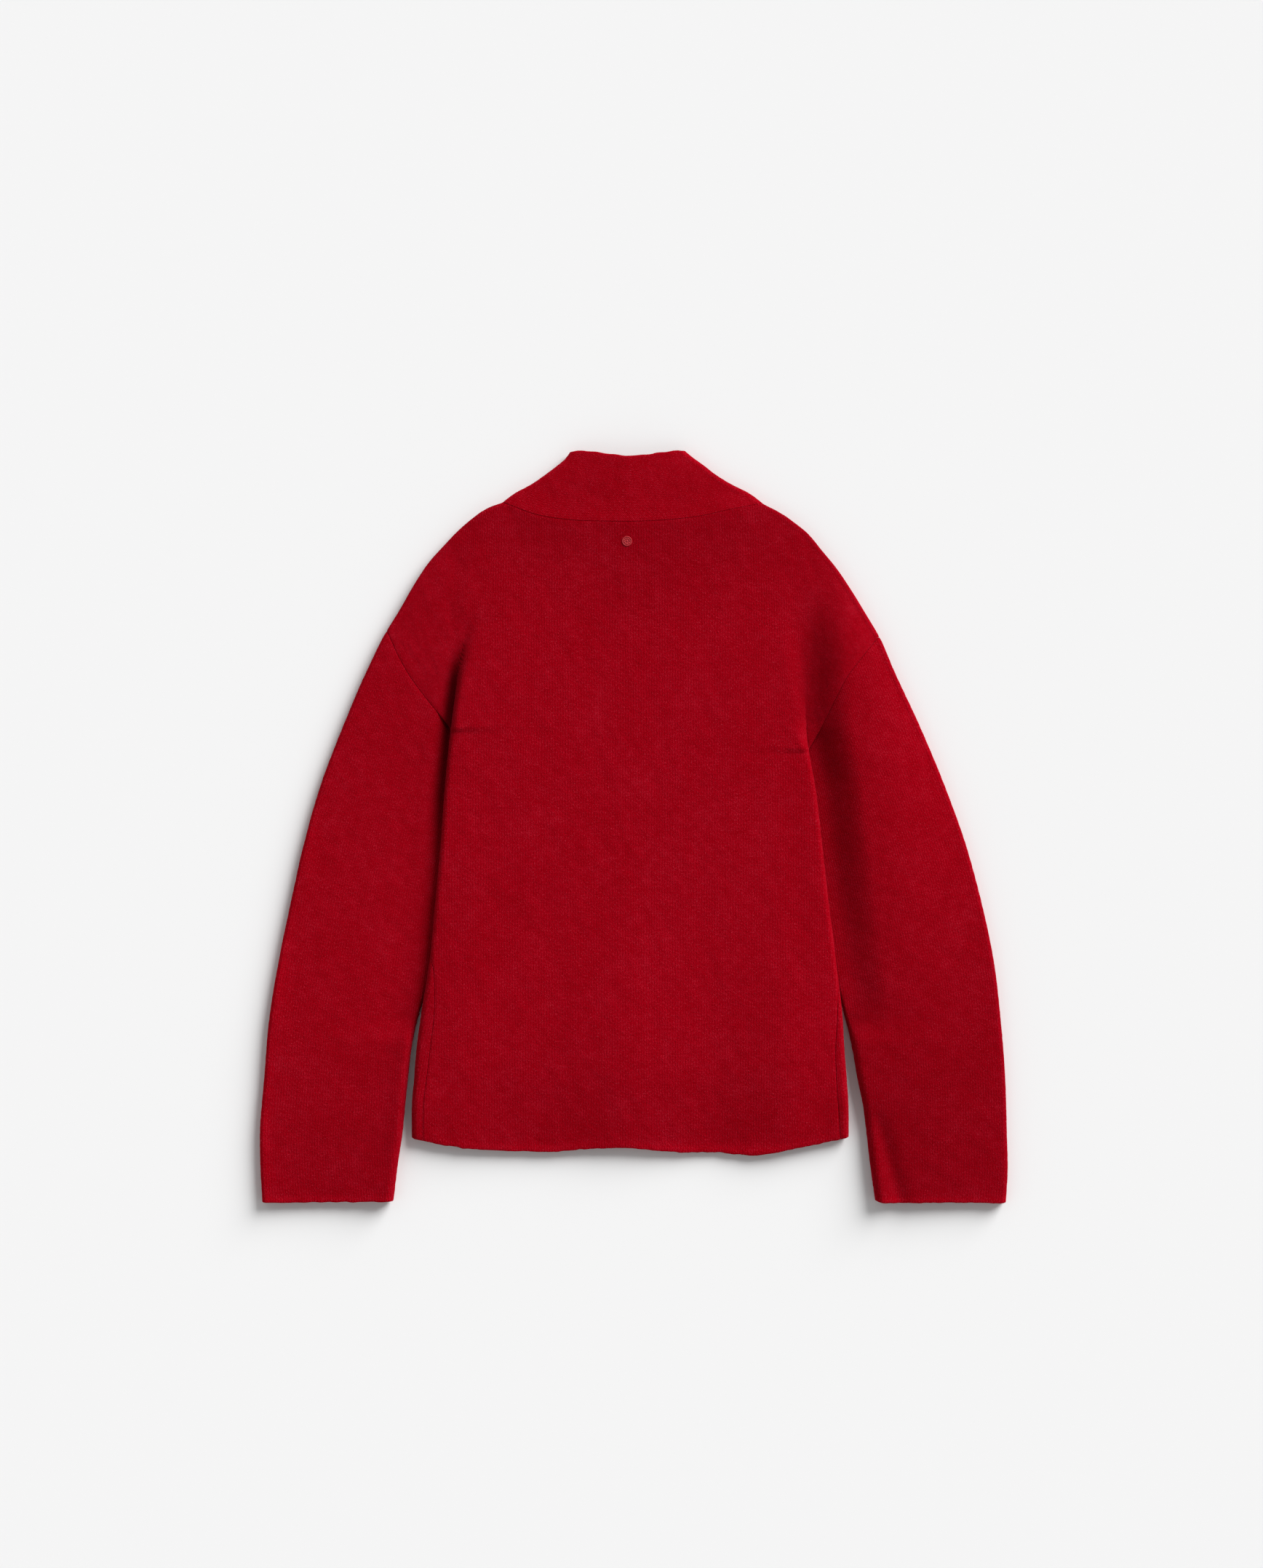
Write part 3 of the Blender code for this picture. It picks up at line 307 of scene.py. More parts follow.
# Where those columns run along the body's side: length along the cloth from its edge.
# The side seam pushes on the ones that it meets.
BACK_FOLD = (-14.0, -7.0, -3.5, 0.0, 3.5, 7.0, 11.0, 17.0, 27.0, 44.0, 66.0)
FRONT_FOLD = (7.0, 3.5, 0.0, -3.5, -7.0, -14.0, -24.0, -34.0, -44.0, -58.0, -78.0)
PUSH = 1.5                    # how softly the seam pushes
LEVEL_BLEND = 100.0           # rows pass from one side's levels to the other's inside this
CORNER_LIP = 0.1              # half the room between back and fronts at the neck points
CORNER_GAP = 0.1              # more room between pieces at the neck points and tips
TIP_REACH = 8.0               # width over which that room closes at the shoulder tips
CREASE_GAP = 0.1              # more room where the armhole seam goes under the body
CREASE_REACH = 30.0
CORNER_REACH = 30.0           # the collar's curved side fades into it over this width
AT_CORNER = 0.98              # share of that fade that marks the column at the neck point
COLLAR_RISE = 34.0            # the collar's front half is free to rise this far inside
EDGE_CROWDING = 0.5           # how much wider the outer columns are at the collar's edge
SECTION_PITCH = 4.0           # between the sections worked out along the body
RING_START = 100.0            # out where a section round the side starts on the underside
FLAT_STEPS = 60               # points of a section: its flat parts, its turn,
TURN_STEPS = 25
CREASE_STEPS = 24             # its crease and its front
FRONT_STEPS = 120
TIP_FADE = 25.0               # the armhole seam bends to the tip over this height
SHELF_FADE = (30.0, 100.0)    # over the crossing, where the pressed shelf of a sleeve ends
INNER_FADE = 30.0             # the sleeve's inner edge fold ends this far over the underarm
ROOM_FADE = 25.0              # and the room at the underarm this far
FOLD_START = 0.35             # share of a shallow fold in which it deepens
FRONT_HEM_OUT = (150.0, 185.0)  # the fronts' hem meets the back's between these
SLEEVE_STARTS = (0.0, 9.0, 24.0)  # first rings, along the outer edge from the tip
TURN_ANGLES = (75.0, 50.0, 25.0)  # points of a ring round its inner edge, in degrees
AHEAD = 0.01                  # share of the edge on each side that gives its heading
HEADING = 0.02                # share that gives the sleeve's heading at the tip
EVEN_SHARE = 0.16             # shares of the sleeve in which its points become even,
SEAM_SHARE = 0.22             # its rings leave the shape of the armhole seam,
ROOM_SHARE = 0.1              # and the room at that seam closes
COLLAR_GROW_OUT = 20.0        # the collar's front edge grows to its corner from here
CORNER_POWER = 4              # how fast the neck point's place fades up that curved side
LEAST_STEP = 0.3              # between an added line and a rim line
EDGE_ROWS = 5                 # rows that give an edge its heading

# Fine grids of the visible cloth
RIM_STEPS = (0.0, 0.16, 0.5, 1.2)      # lines that round a cut edge
EDGE_STEPS = (0.25, 0.8, 1.6, 2.6, 4.0, 5.5, 7.5, 10.0)
SHOWN = {"pitch": 2.4, "upper": 70, "tuck": 12, "lower": 128, "collar": 30}
HIDDEN = {"pitch": 4.0, "upper": 40, "tuck": 8, "lower": 80, "collar": 30}
SLEEVE = {"pitch": 2.4, "upper": 34, "tuck": 10, "lower": 10, "collar": 30}
grid = {}

# Knit, in metres
WALE = 0.00245                # width of a column of stitches
COURSE = 0.0019               # height of a stitch
SHEEN = 0.25
FRONT_DARKENING = 0.93              # the fronts are drawn this much darker; only their strip round the body's sides shows
WALE_LEAN = (0.5, -15.0, 60.0, 260.0)  # slope, out of the crease from and to, level of none
LEAN_LEVELS = (60.0, 100.0)   # the wales start to lean between these
KNIT_STITCH = (0.30, 0.14)    # how strongly the ribs and the stitches in them show
COLLAR_STITCH = (0.18, 0.35)

# Colours of the gaps between stitches, darker as painted shade in them, of their face, and of loose
# fibres, linear
KNIT_TONES = ((0.190, 0.0001, 0.0018), (0.282, 0.0004, 0.0055), (0.450, 0.0160, 0.0360))
COLLAR_TONES = ((0.200, 0.0001, 0.0018), (0.285, 0.0004, 0.0052), (0.450, 0.0150, 0.0350))
FLECK = (0.50, 0.045, 0.075)  # stray pale fibres
FLECK_SIZE = (1500.0, 620.0)  # how fine they are across and along the wales
FIBRE = (1150.0, 520.0)       # fineness of the loose fibres, across and along the wales

# Noise: scale, detail and roughness
DRIFT_NOISE = (150.0, 1.0)    # bends the columns of stitches
FIBRE_NOISE = (1.0, 2.0, 0.75)
FELT_NOISE = (420.0, 3.0, 0.6)
CLOUD_NOISE = (26.0, 3.0, 0.55)   # broad patches of deeper and paler wool
TUFT_NOISE = (110.0, 2.0, 0.5)
FLECK_NOISE = (1.0, 1.0, 0.5)
PLASTIC_CLOUD = (300.0, 3.0, 0.6)
PLASTIC_SCUFF = (900.0, 2.0, 0.5)

DRIFT = 0.5                   # how far the columns bend, in stitches
FIBRE_AMOUNT = 2.2            # how strongly the fibres, patches and tufts show
CLOUD_AMOUNT = 0.55
TUFT_AMOUNT = 0.7
STITCH_MIDDLE = (0.7, 0.67)   # average height of a rib and of a stitch
GAP_LEVELS = (-0.9, 0.1)      # between these the gaps' colour turns to the face's
PALE_LEVELS = (0.1, 1.3)      # and that one to the fibres'
SHEEN_TINT = (1.0, 0.05, 0.10, 1.0)
SHEEN_ROUGHNESS = 0.45

# Uneven shapes, in millimetres, with the longest and the shortest of their waves
FACE_RELIEF = {"shown": 0.12, "hidden": 0.05, "collar": 0.10}
FACE_WAVES = (40.0, 9.0)
RELIEF_EDGE = 6.0             # the relief fades to an edge inside this distance
OUTLINE_RELIEF = 0.10
OUTLINE_WAVES = (12.0, 6.0)
FREE_EDGE_WAVE = {"shown": 0.3, "hidden": 0.0, "collar": 0.5}
FREE_EDGE_WAVES = (26.0, 7.0)
FREE_EDGE_FADE = 10.0         # rows further from the edge than this stay
COLLAR_CORNER = (5.0, 1.8)    # reach and depth of the collar's rounded corners
CUFF_CORNERS = {LEFT: (4.0, 1.5), RIGHT: (7.0, 2.8)}  # and of the cuffs' inner ones
HEM_CORNER = (4.0, 0.7)       # and of the hem's
SEAM_DIP = 0.30               # how deep the cloth sinks at a seam
SEAM_REACH = 1.5              # and how far from it

# Painted shade and painted light on a piece, where the lamps leave it too light or too dark:
# shade under the collar, on the lower sleeves and along lit edges, light along shaded edges and
# at the fuzzy hem and cuffs. x and y of its middle, reach across and along, and the share taken
# from the colour; a negative share makes it paler
BODY_PAINTED_SHADING = (
    (10.0, 285.0, 170.0, 56.0, 0.18),
    (140.0, 285.0, 60.0, 36.0, 0.13),
    (175.0, 245.0, 26.0, 36.0, 0.12),
    (0.0, 215.0, 40.0, 40.0, 0.05),
    (-120.0, 285.0, 60.0, 32.0, 0.10),
    (-185.0, -275.0, 50.0, 24.0, -0.08),
    (-170.0, 10.0, 26.0, 40.0, -0.07),
    (-162.0, 215.0, 14.0, 34.0, -0.10),
    (170.0, 88.0, 20.0, 12.0, -0.12),
    (180.0, -270.0, 36.0, 28.0, -0.10),
    (0.0, -303.0, 400.0, 5.0, -0.25),
)
# Painted shade on the lower sleeves, at the right shoulder and along the right outer edge; painted
# light along the left outer edge and at the cuffs' ends
SLEEVE_PAINTED_SHADING = (
    (260.0, -300.0, 90.0, 160.0, 0.20),
    (-285.0, -345.0, 110.0, 130.0, 0.11),
    (-222.0, -285.0, 12.0, 70.0, 0.10),
    (185.0, 240.0, 50.0, 50.0, 0.08),
    (220.0, 130.0, 46.0, 60.0, 0.10),
    (330.0, -200.0, 40.0, 200.0, 0.09),
    (206.0, -190.0, 12.0, 18.0, 0.18),
    (-285.0, -352.0, 140.0, 5.0, -0.30),
    (290.0, -352.0, 140.0, 5.0, -0.30),
    (-348.0, -260.0, 8.0, 120.0, -0.30),
    (-330.0, -110.0, 11.0, 70.0, -0.24),
    (-303.0, 5.0, 10.0, 50.0, -0.15),
)
# Painted shade on the collar's lower parts, painted light along its free edge
COLLAR_PAINTED_SHADING = (
    (75.0, 325.0, 60.0, 26.0, 0.14),
    (-60.0, 315.0, 70.0, 14.0, 0.08),
    (0.0, 349.0, 60.0, 7.0, -0.10),
)
# Painted shade in the crease beside the body: side, out of the body's edge, reach, share, and
# the levels where it starts and is full, and where it is full and ends
CREASE_PAINTED_SHADE = (
    (LEFT, 4.2, 6.0, 0.62, (-60.0, 50.0, 135.0, 180.0)),
    (LEFT, 2.5, 5.0, 0.18, (60.0, 100.0, 135.0, 175.0)),
    (LEFT, 16.0, 9.0, 0.13, (-250.0, -190.0, 90.0, 130.0)),
    (LEFT, 17.0, 9.0, 0.10, (95.0, 115.0, 140.0, 165.0)),
    (RIGHT, -18.0, 12.0, 0.07, (-180.0, -120.0, 40.0, 80.0)),
    (RIGHT, 18.0, 15.0, 0.27, (-190.0, -30.0, 165.0, 245.0)),
    (RIGHT, 3.0, 12.0, 0.15, (50.0, 115.0, 165.0, 225.0)),
)
COLLAR_LAP = (0.45, 0.20)     # how far the collar's seam edge covers the body's, and its rise
LAP_REACH = 4.0               # in this distance from the seam
# Shallow folds: from x, y to x, y, half width, depth
FOLDS = (
    (222.0, -250.0, 251.0, -356.0, 9.0, 2.8),
)
# Half sections from the middle out and down: radius and height over the cloth
STUD_SHAPE = (
    (0.0, 0.5), (0.5, 0.55), (0.9, 0.35), (1.2, 0.1), (1.5, 0.05), (1.9, 0.15), (2.3, 0.45),
    (2.6, 0.5), (2.9, 0.4), (3.15, 0.1), (3.4, 0.05), (3.65, 0.15), (3.9, 0.45), (4.15, 0.55),
    (4.4, 0.5), (4.6, 0.3), (4.7, 0.05), (4.65, -0.6), (4.2, -0.9), (0.0, -0.9),
)
STUD_BEADS = (9, 0.32, 2.55, 0.6)     # count, relief, radius and reach of the beaded ring
BUTTON_SHAPE = (
    (0.0, 6.1), (1.1, 6.1), (1.15, 5.4), (1.02, 4.9), (1.12, 4.4), (1.0, 3.9), (1.1, 3.5),
    (1.6, 3.05), (2.2, 2.95), (8.0, 2.9), (9.2, 2.7), (9.8, 2.2), (10.0, 1.6), (9.95, 1.0),
    (9.6, 0.4), (9.1, 0.08), (8.5, 0.0), (7.9, 0.12), (7.4, 0.45), (6.8, 0.62), (5.5, 0.72),
    (3.0, 0.8), (0.0, 0.82),
)
ROUND_STEPS = 72
SLOT_STEPS = 9
BUTTON_CURVE = 4              # steps of the curve between two rows of a half section
SEAM = 0.15                   # radius that rounds the edges at a seam
EDGE = 1.2                    # and free edges

# The two faces of a cloth side by side in the map meant for baking its colours
CHART_SIZE = (0.49, 0.98)
CHART_OUTSIDE = (0.005, 0.01)
CHART_INSIDE = (0.505, 0.01)

# Floor, light and camera, in metres and degrees
FLOOR_REACH = 6.0
FLOOR_WHITE = (0.86, 0.86, 0.86, 1.0)
SUN_POWER = 4.9
SUN_SPREAD = 38.0
SUN_TURN = 48.0               # from +X towards +Y
SUN_HEIGHT = 25.0
FILL_POWER = 0.572            # from all sides
OVERHEAD_POWER = 0.08         # and from overhead
OVERHEAD = (0.70, 0.92)       # sine of the height where the one turns to the other
LENS = 85.0                   # lens, sensor and reach of the camera, the first two in mm
SENSOR_HEIGHT = 36.0
VIEW_REACH = 50.0
FRAME_HEIGHT = 1.4654
FRAME_X = -0.0014
FRAME_Y = 0.039
FRAME_LEVEL = 0.006
BUTTON_COLOUR = (0.150, 0.004, 0.008)
STUD_COLOUR = (0.340, 0.016, 0.022)


# ---- Curves ---------------------------------------------------------------------------

def smooth(start, end, value):
    """Rise from 0 at start to 1 at end with level ends."""
    s = np.clip((value - start) / (end - start), 0.0, 1.0)
    return s * s * (3 - 2 * s)


def spline(keys, values):
    """Smooth curve through values at keys, level outside them; keys may rise or fall."""
    keys = np.asarray(keys, float)
    values = np.asarray(values, float)
    order = np.argsort(keys)
    keys = keys[order]
    values = values[order]
    slopes = np.gradient(values, keys)

    def curve(at):
        at = np.clip(at, keys[0], keys[-1])
        i = np.clip(np.searchsorted(keys, at) - 1, 0, len(keys) - 2)
        width = keys[i + 1] - keys[i]
        s = (at - keys[i]) / width
        rise = s * s * (3 - 2 * s)
        start = width * slopes[i] * s * (1 - s) ** 2
        end = width * slopes[i + 1] * s * s * (s - 1)
        return values[i] * (1 - rise) + values[i + 1] * rise + start + end

    return curve


def column(table, index, key=0):
    return spline([row[key] for row in table], [row[index] for row in table])


def sides(table, left_index, right_index, key=0):
    """One curve for each side of the garment."""
    return {LEFT: column(table, left_index, key), RIGHT: column(table, right_index, key)}


def lengths(points):
    """Running length along a line of points."""
    steps = np.linalg.norm(np.diff(points, axis=0), axis=1)
    return np.concatenate(([0.0], np.cumsum(steps)))


def smooth_line(points, step=2.0):
    """Evenly spaced points on a smooth line through the given ones."""
    points = np.asarray(points, float)
    run = lengths(points)
    at = np.linspace(0.0, run[-1], max(2, int(run[-1] / step)))
    return np.column_stack([spline(run, points[:, k])(at) for k in range(2)])


def shifted(line, amount):
    """The line moved sideways: to its left as it runs when the amount is positive."""
    heading = np.gradient(line, axis=0)
    heading /= np.linalg.norm(heading, axis=1)[:, None]
    return line + amount * np.column_stack((-heading[:, 1], heading[:, 0]))


def distance_to(lines, x, y):
    """Distance in plan from each point to the nearest of several lines."""
    x = np.asarray(x, float)
    flat = np.column_stack((x.ravel(), np.broadcast_to(y, x.shape).ravel()))
    best = np.full(len(flat), np.inf)
    for line in lines:
        start = line[:-1]
        along = line[1:] - start
        size = (along ** 2).sum(1)
        away = flat[:, None, :] - start[None]
        share = np.clip((away * along[None]).sum(2) / size, 0.0, 1.0)
        near = away - share[..., None] * along[None]
        best = np.minimum(best, np.sqrt((near ** 2).sum(2)).min(1))
    return best.reshape(x.shape)


def line_at(line, fraction):
    run = lengths(line)
    return np.array([np.interp(fraction * run[-1], run, line[:, k]) for k in range(2)])


# ---- Plan of the garment ---------------------------------------------------------------

armhole_out = {LEFT: column(ARMHOLES, 0, 1), RIGHT: column(ARMHOLES, 2, 3)}
inner_out = sides(SLEEVE_INNER, 1, 2)
body_out = sides(BODY_SIDES, 1, 2)
seam_length = sides(SIDE_SEAMS, 1, 2)
hem_y = column(HEM, 1)
back_neck_y = column(BACK_NECK, 1)
body_height = column(HEIGHTS, 1)
sleeve_height = column(HEIGHTS, 2)
crease_back = sides(CREASE, 1, 2)
crease_sleeve = sides(CREASE, 3, 4)
wall_width = sides(CREASE, 5, 6)
ridge_height = column(RIDGE, 1)
UNDERARM = {LEFT: ARMHOLES[-1][:2], RIGHT: ARMHOLES[-1][2:]}


def outer_line(side):
    """Middle of the cloth at the edge fold, from the neck point over the tip to the cuff."""
    shoulder = [(row[0], row[SIDE_COLUMN[side]]) for row in SHOULDERS]
    sleeve = [(row[SIDE_COLUMN[side]], row[0]) for row in SLEEVE_OUTER]
    line = smooth_line(shoulder + sleeve)
    line = shifted(line, -HALF)
    line[:, 0] *= side
    return line


def collar_line(side):
    """Middle of the cloth at the collar's side fold, from the neck point up."""
    first = 0 if side == LEFT else 2
    line = smooth_line([row[first:first + 2] for row in COLLAR_SIDES])
    return shifted(line, side * HALF)


outer = {side: outer_line(side) for side in SIDES}
collar_side = {side: collar_line(side) for side in SIDES}
edge_lines = list(outer.values()) + list(collar_side.values())


def tip(side):
    """Where the armhole seam starts, on the middle line of the edge fold."""
    line = outer[side]
    corner = np.array((side * ARMHOLES[0][0], SHOULDERS[-1][SIDE_COLUMN[side]]))
    return line[np.argmin(np.linalg.norm(line - corner, axis=1))]


tips = {side: tip(side) for side in SIDES}


def boundary_out(side, y):
    """Out of the panels' side boundary above the underarm."""
    tip_out, tip_y = side * tips[side][0], tips[side][1]
    fix = tip_out - armhole_out[side](tip_y)
    fade = smooth(tip_y - TIP_FADE, tip_y, y)
    return np.where(y >= tip_y, tip_out, armhole_out[side](y) + fix * fade)


def crossing(side):
    """Level at which the armhole seam goes under the side of the body."""
    levels = np.arange(UNDERARM[side][1], tips[side][1], 0.5)
    apart = boundary_out(side, levels) - body_out[side](levels) + HALF
    return float(levels[np.argmax(apart > 0)])


crossing_y = {side: crossing(side) for side in SIDES}


# ---- Heights of the cloth's middle -------------------------------------------------------

def squarish(d):
    """Rise of an edge fold's section, from 0 at its edge to 1 at its radius inside."""
    return (1 - (1 - np.clip(d / EDGE_R, 0.0, 1.0)) ** SQUARE) ** (1 / SQUARE)


def edge_drop(z, d):
    """Bring an upper layer down to the edge fold within its distance d of the edge."""
    top = EDGE_MID + EDGE_R
    turn = squarish(d)
    fold = EDGE_MID + FOLD_FLAT + (EDGE_R - FOLD_FLAT) * turn
    rise = 1 - np.exp(-np.maximum(d - EDGE_R, 0.0) / EDGE_REACH)
    return np.where(d < EDGE_R, fold, top + (z - top) * rise)


def edge_lift(z, d):
    """Bring a lower layer up to the edge fold within its distance d of the edge."""
    turn = squarish(d)
    fold = EDGE_MID - FOLD_FLAT - (EDGE_R - FOLD_FLAT) * turn
    return z + np.where(d < EDGE_R, fold - HALF, 0.0)


def lift(y):
    """Rise of the body's side above the floor."""
    return BODY_LIFT * smooth(LIFT_END_Y, LIFT_START_Y, y)


def plateau(x, y):
    """Height of the back over the body."""
    waves = smooth(WAVES_START_Y, WAVES_FULL_Y, y)
    bumps = sum(h * np.exp(-((x - crest) / width) ** 2) for crest, width, h in HEM_WAVES)
    return body_height(y) + waves * bumps


def pressed(side, out, y, low):
    """Height of the cloth outside the body's edge: low beside it, rising outwards."""
    above = smooth(*SHELF_FADE, y - crossing_y[side])
    shelf = SLEEVE_SHELF[side] * (1 - above)
    reach = out - body_out[side](y) - shelf
    full = sleeve_height(y)
    if side == RIGHT:
        full = full + ridge_height(y) * (1 - smooth(*RIDGE_REACH, reach))
    press = smooth(PRESS_END_Y, PRESS_START_Y, y)
    return full - press * (full - low) * (1 - smooth(0.0, SLEEVE_SHOULDER[side], reach))


def inner_radius(side, y):
    """Middle radius of the fold along the sleeve's inner edge."""
    return FREE_R[side] + (TUCK_R - FREE_R[side]) * smooth(*FREE_EDGE, y)


def sleeve_top(side, x, y):
    out = side * x
    above = y - crossing_y[side]
    z = pressed(side, out, y, crease_sleeve[side](above))
    radius = inner_radius(side, y)
    edge = HALF + 2 * radius
    inside = np.maximum(out - inner_out[side](y) - HALF - radius, 0.0)
    underarm_y = UNDERARM[side][1]
    fold = np.exp(-inside / INNER_REACH) * (1 - smooth(underarm_y, underarm_y + INNER_FADE, y))
    z = edge + (z - edge) * (1 - fold)
    for x0, y0, x1, y1, half_width, depth in FOLDS:
        share = np.clip((y - y0) / (y1 - y0), 0.0, 1.0)
        ends = smooth(0.0, FOLD_START, share)
        z = z - depth * ends * np.exp(-((x - x0 - (x1 - x0) * share) / half_width) ** 2)
    return edge_drop(z, distance_to(edge_lines, x, y))


def front_height(side, out, y):
    """Height of a front: on the floor, up over the sleeve, and up over the buttons."""
    edge = np.minimum(inner_out[side](y), body_out[side](y) - HALF - SIDE_R)
    over = smooth(-INNER_RAMP[1], -INNER_RAMP[0], out - edge)
    fade = 1 - smooth(0.0, UNDERARM_RAMP, y - UNDERARM[side][1])
    from_centre = out - side * CENTRE_X
    layers = 1 if side == RIGHT else 2
    band = BUTTON_T + GAP + (layers - 1) * (WALL + GAP)
    rise = band * (1 - smooth(BAND_HALF, BAND_FOOT, from_centre))
    return HALF + lift(y) * over * fade + rise


# ---- Sections across the body --------------------------------------------------------------

def side_ring(side, y, inner_end):
    """Section round the body's side: running length from the edge, out, and height.

    It runs from inner_end on the underside, round the edge, to the Y axis on top.
    """
    edge = body_out[side](y) - HALF
    under = HALF + lift(y)
    low_r = SIDE_R
    if y > UNDERARM[side][1]:
        low_r = np.clip(edge - boundary_out(side, y), 0.01, SIDE_R)
    high_r = 2 * SIDE_R - low_r
    flat = np.linspace(inner_end, edge - low_r, FLAT_STEPS)[:-1]
    turn = np.linspace(-math.pi / 2, math.pi / 2, TURN_STEPS)
    radius = np.where(turn < 0, low_r, high_r)
    wide = np.where(turn < 0, low_r, SIDE_R)
    fold_out = edge - wide * (1 - np.cos(turn))
    fold_z = under + low_r + radius * np.sin(turn)
    top = np.linspace(edge - SIDE_R, 0.0, FLAT_STEPS)[1:]
    low_z = np.full(len(flat), under)
    if y <= UNDERARM[side][1]:
        low_z = front_height(side, flat, y)
    start = under + 2 * SIDE_R
    rise = 1 - np.exp(-(edge - SIDE_R - top) / BODY_REACH)
    top_z = start + (plateau(side * top, y) - start) * rise
    out = np.concatenate((flat, fold_out, top))
    z = np.concatenate((low_z, fold_z, top_z))
    run = lengths(np.column_stack((out, z)))
    apex = run[len(flat) + TURN_STEPS // 2]
    return run - apex, out, z


def crease_section(side, y):
    """Section of the back above the crossing: shoulder, crease, wall, and body."""
    above = y - crossing_y[side]
    edge = body_out[side](y) - HALF
    low = crease_back[side](above)
    width = wall_width[side](above)
    outside = np.linspace(boundary_out(side, y), edge, CREASE_STEPS)
    outside_z = pressed(side, outside, y, low)
    s = np.linspace(0.0, 1.0, CREASE_STEPS)[1:]
    soft = smooth(*WALL_SOFT[side], above)
    steep = 1 - np.cos(s * math.pi / 2)
    wall = edge - width * (steep + (s - steep) * soft)
    top = plateau(side * (edge - width), y)
    bend = np.sin(s * math.pi / 2)
    bend = bend + (smooth(0.0, 1.0, s) - bend) * soft
    wall_z = low + (top - low) * bend
    inside = np.linspace(edge - width, 0.0, FLAT_STEPS)[1:]
    inside_z = plateau(side * inside, y)
    out = np.concatenate((outside, wall, inside))
    return out, np.concatenate((outside_z, wall_z, inside_z))


def seam_gap(side, y):
    return SIDE_GAP if y <= UNDERARM[side][1] else GAP


def cut(run, out, z, start):
    """The part of a section from a given running length on."""
    keep = run > start
    first = [np.interp(start, run, values) for values in (out, z)]
    return np.concatenate(([first[0]], out[keep])), np.concatenate(([first[1]], z[keep]))


def seam_start(side, y):
    """Running length from the body's edge at which the back starts."""
    if y <= UNDERARM[side][1]:
        return float(seam_length[side](y))
    run, out, _ = side_ring(side, y, RING_START)
    under = run <= 0
    return float(np.interp(boundary_out(side, y), out[under], run[under]))


def slope_share(y):
    """Share of the slopes in a section's length; none at the shoulders."""
    return 1 - smooth(max(crossing_y.values()), tips[RIGHT][1], y)


def back_half(side, y):
    """Section of the back from its side boundary to the Y axis, and its side columns."""
    if y > crossing_y[side]:
        out, z = crease_section(side, y)
        to_edge = abs(out[0] - body_out[side](y) + HALF)
    else:
        start = seam_start(side, y) + seam_gap(side, y) / 2
        out, z = cut(*side_ring(side, y, RING_START), start)
        to_edge = -start
    share = 1 - smooth(crossing_y[side], tips[side][1], y)
    return out, z, side_places(BACK_FOLD, to_edge, share)


def front_half(side, y, centre_out):
    """Section of a front from its side boundary to the centre front, and its side columns."""
    underarm_y = UNDERARM[side][1]
    start = seam_start(side, min(y, underarm_y)) - SIDE_GAP / 2
    if y > underarm_y:
        room = UNDERARM_ROOM * (1 - smooth(0.0, ROOM_FADE, y - underarm_y))
        out = np.linspace(boundary_out(side, y) - GAP / 2 - room, centre_out, FRONT_STEPS)
        z = front_height(side, out, y)
    else:
        run, out, z = side_ring(side, y, centre_out)
        keep = run < start
        last = [np.interp(start, run, values) for values in (out, z)]
        out = np.append(out[keep], last[0])[::-1]
        z = np.append(z[keep], last[1])[::-1]
    share = 1 - smooth(underarm_y, tips[side][1], y)
    return out, z, side_places([-length for length in FRONT_FOLD], start, share)


def spread(x, z, y, first, last, middle):
    """Points of a section: side columns at its ends and the middle ones between them."""
    run = lengths(np.column_stack((x, z * slope_share(y))))
    end = run[-1] - (last[-1] if len(last) else 0.0)
    at = first[-1] + np.array(middle) * (end - first[-1])
    at = np.concatenate((first, at, run[-1] - last[::-1]))
    return np.interp(at, run, x), np.interp(at, run, z)


def section_levels():
    low = min(row[1] for row in HEM) - SECTION_PITCH
    high = max(row[1] for row in SHOULDERS)
    levels = np.arange(low, high, SECTION_PITCH)
    marks = [UNDERARM[s][1] + d for s in SIDES for d in (0.0, 0.01)]
    marks += [crossing_y[s] + d for s in SIDES for d in (0.0, 0.01)]
    marks += [tips[s][1] for s in SIDES]
    return np.unique(np.concatenate((levels, marks)))


def body_chart(section):
    """Where each column lies at each level: a function of column and y giving x and z."""
    levels = section_levels()
    points = np.array([spread(*section(y)) for y in levels])

    def chart(index, y):
        x = np.interp(y, levels, points[:, 0, index])
        return x, np.interp(y, levels, points[:, 1, index])

    return chart


# ---- Panels ----------------------------------------------------------------------------------

def shoulder_top(side, out):
    """Level of the edge fold's middle line over a point of the shoulder."""
    line = outer[side]
    above = line[:, 1] >= tips[side][1] - 0.01
    xs = side * line[above, 0]
    order = np.argsort(xs)
    return float(np.interp(out, xs[order], line[above, 1][order]))


def back_rows():
    places, middle = back_columns()

    def section(y):
        left_out, left_z, left_places = back_half(LEFT, y)
        right_out, right_z, right_places = back_half(RIGHT, y)
        x = np.concatenate((-left_out, right_out[::-1][1:]))
        z = np.concatenate((left_z, right_z[::-1][1:]))
        return x, z, y, left_places, right_places, middle

    tops = []
    on_shoulder = []
    for x in places:
        side = LEFT if x < 0 else RIGHT
        shoulder = abs(x) > BACK_NECK[-1][0] - GAP
        on_shoulder.append(shoulder)
        tops.append(shoulder_top(side, abs(x)) if shoulder else float(back_neck_y(x)))

    def levels_at(x):
        share = float(smooth(-LEVEL_BLEND, LEVEL_BLEND, x))
        cross = crossing_y[LEFT] + (crossing_y[RIGHT] - crossing_y[LEFT]) * share
        underarm = UNDERARM[LEFT][1] + (UNDERARM[RIGHT][1] - UNDERARM[LEFT][1]) * share
        return cross, underarm, lambda x: float(hem_y(x))

    return panel_rows(body_chart(section), tops, on_shoulder, levels_at, True)


def along_front_neck(index, out):
    keys = [row[0] for row in FRONT_NECK][::-1]
    values = [row[index] for row in FRONT_NECK][::-1]
    return float(np.interp(out, keys, values))


# ---- Sleeves ------------------------------------------------------------------------------------

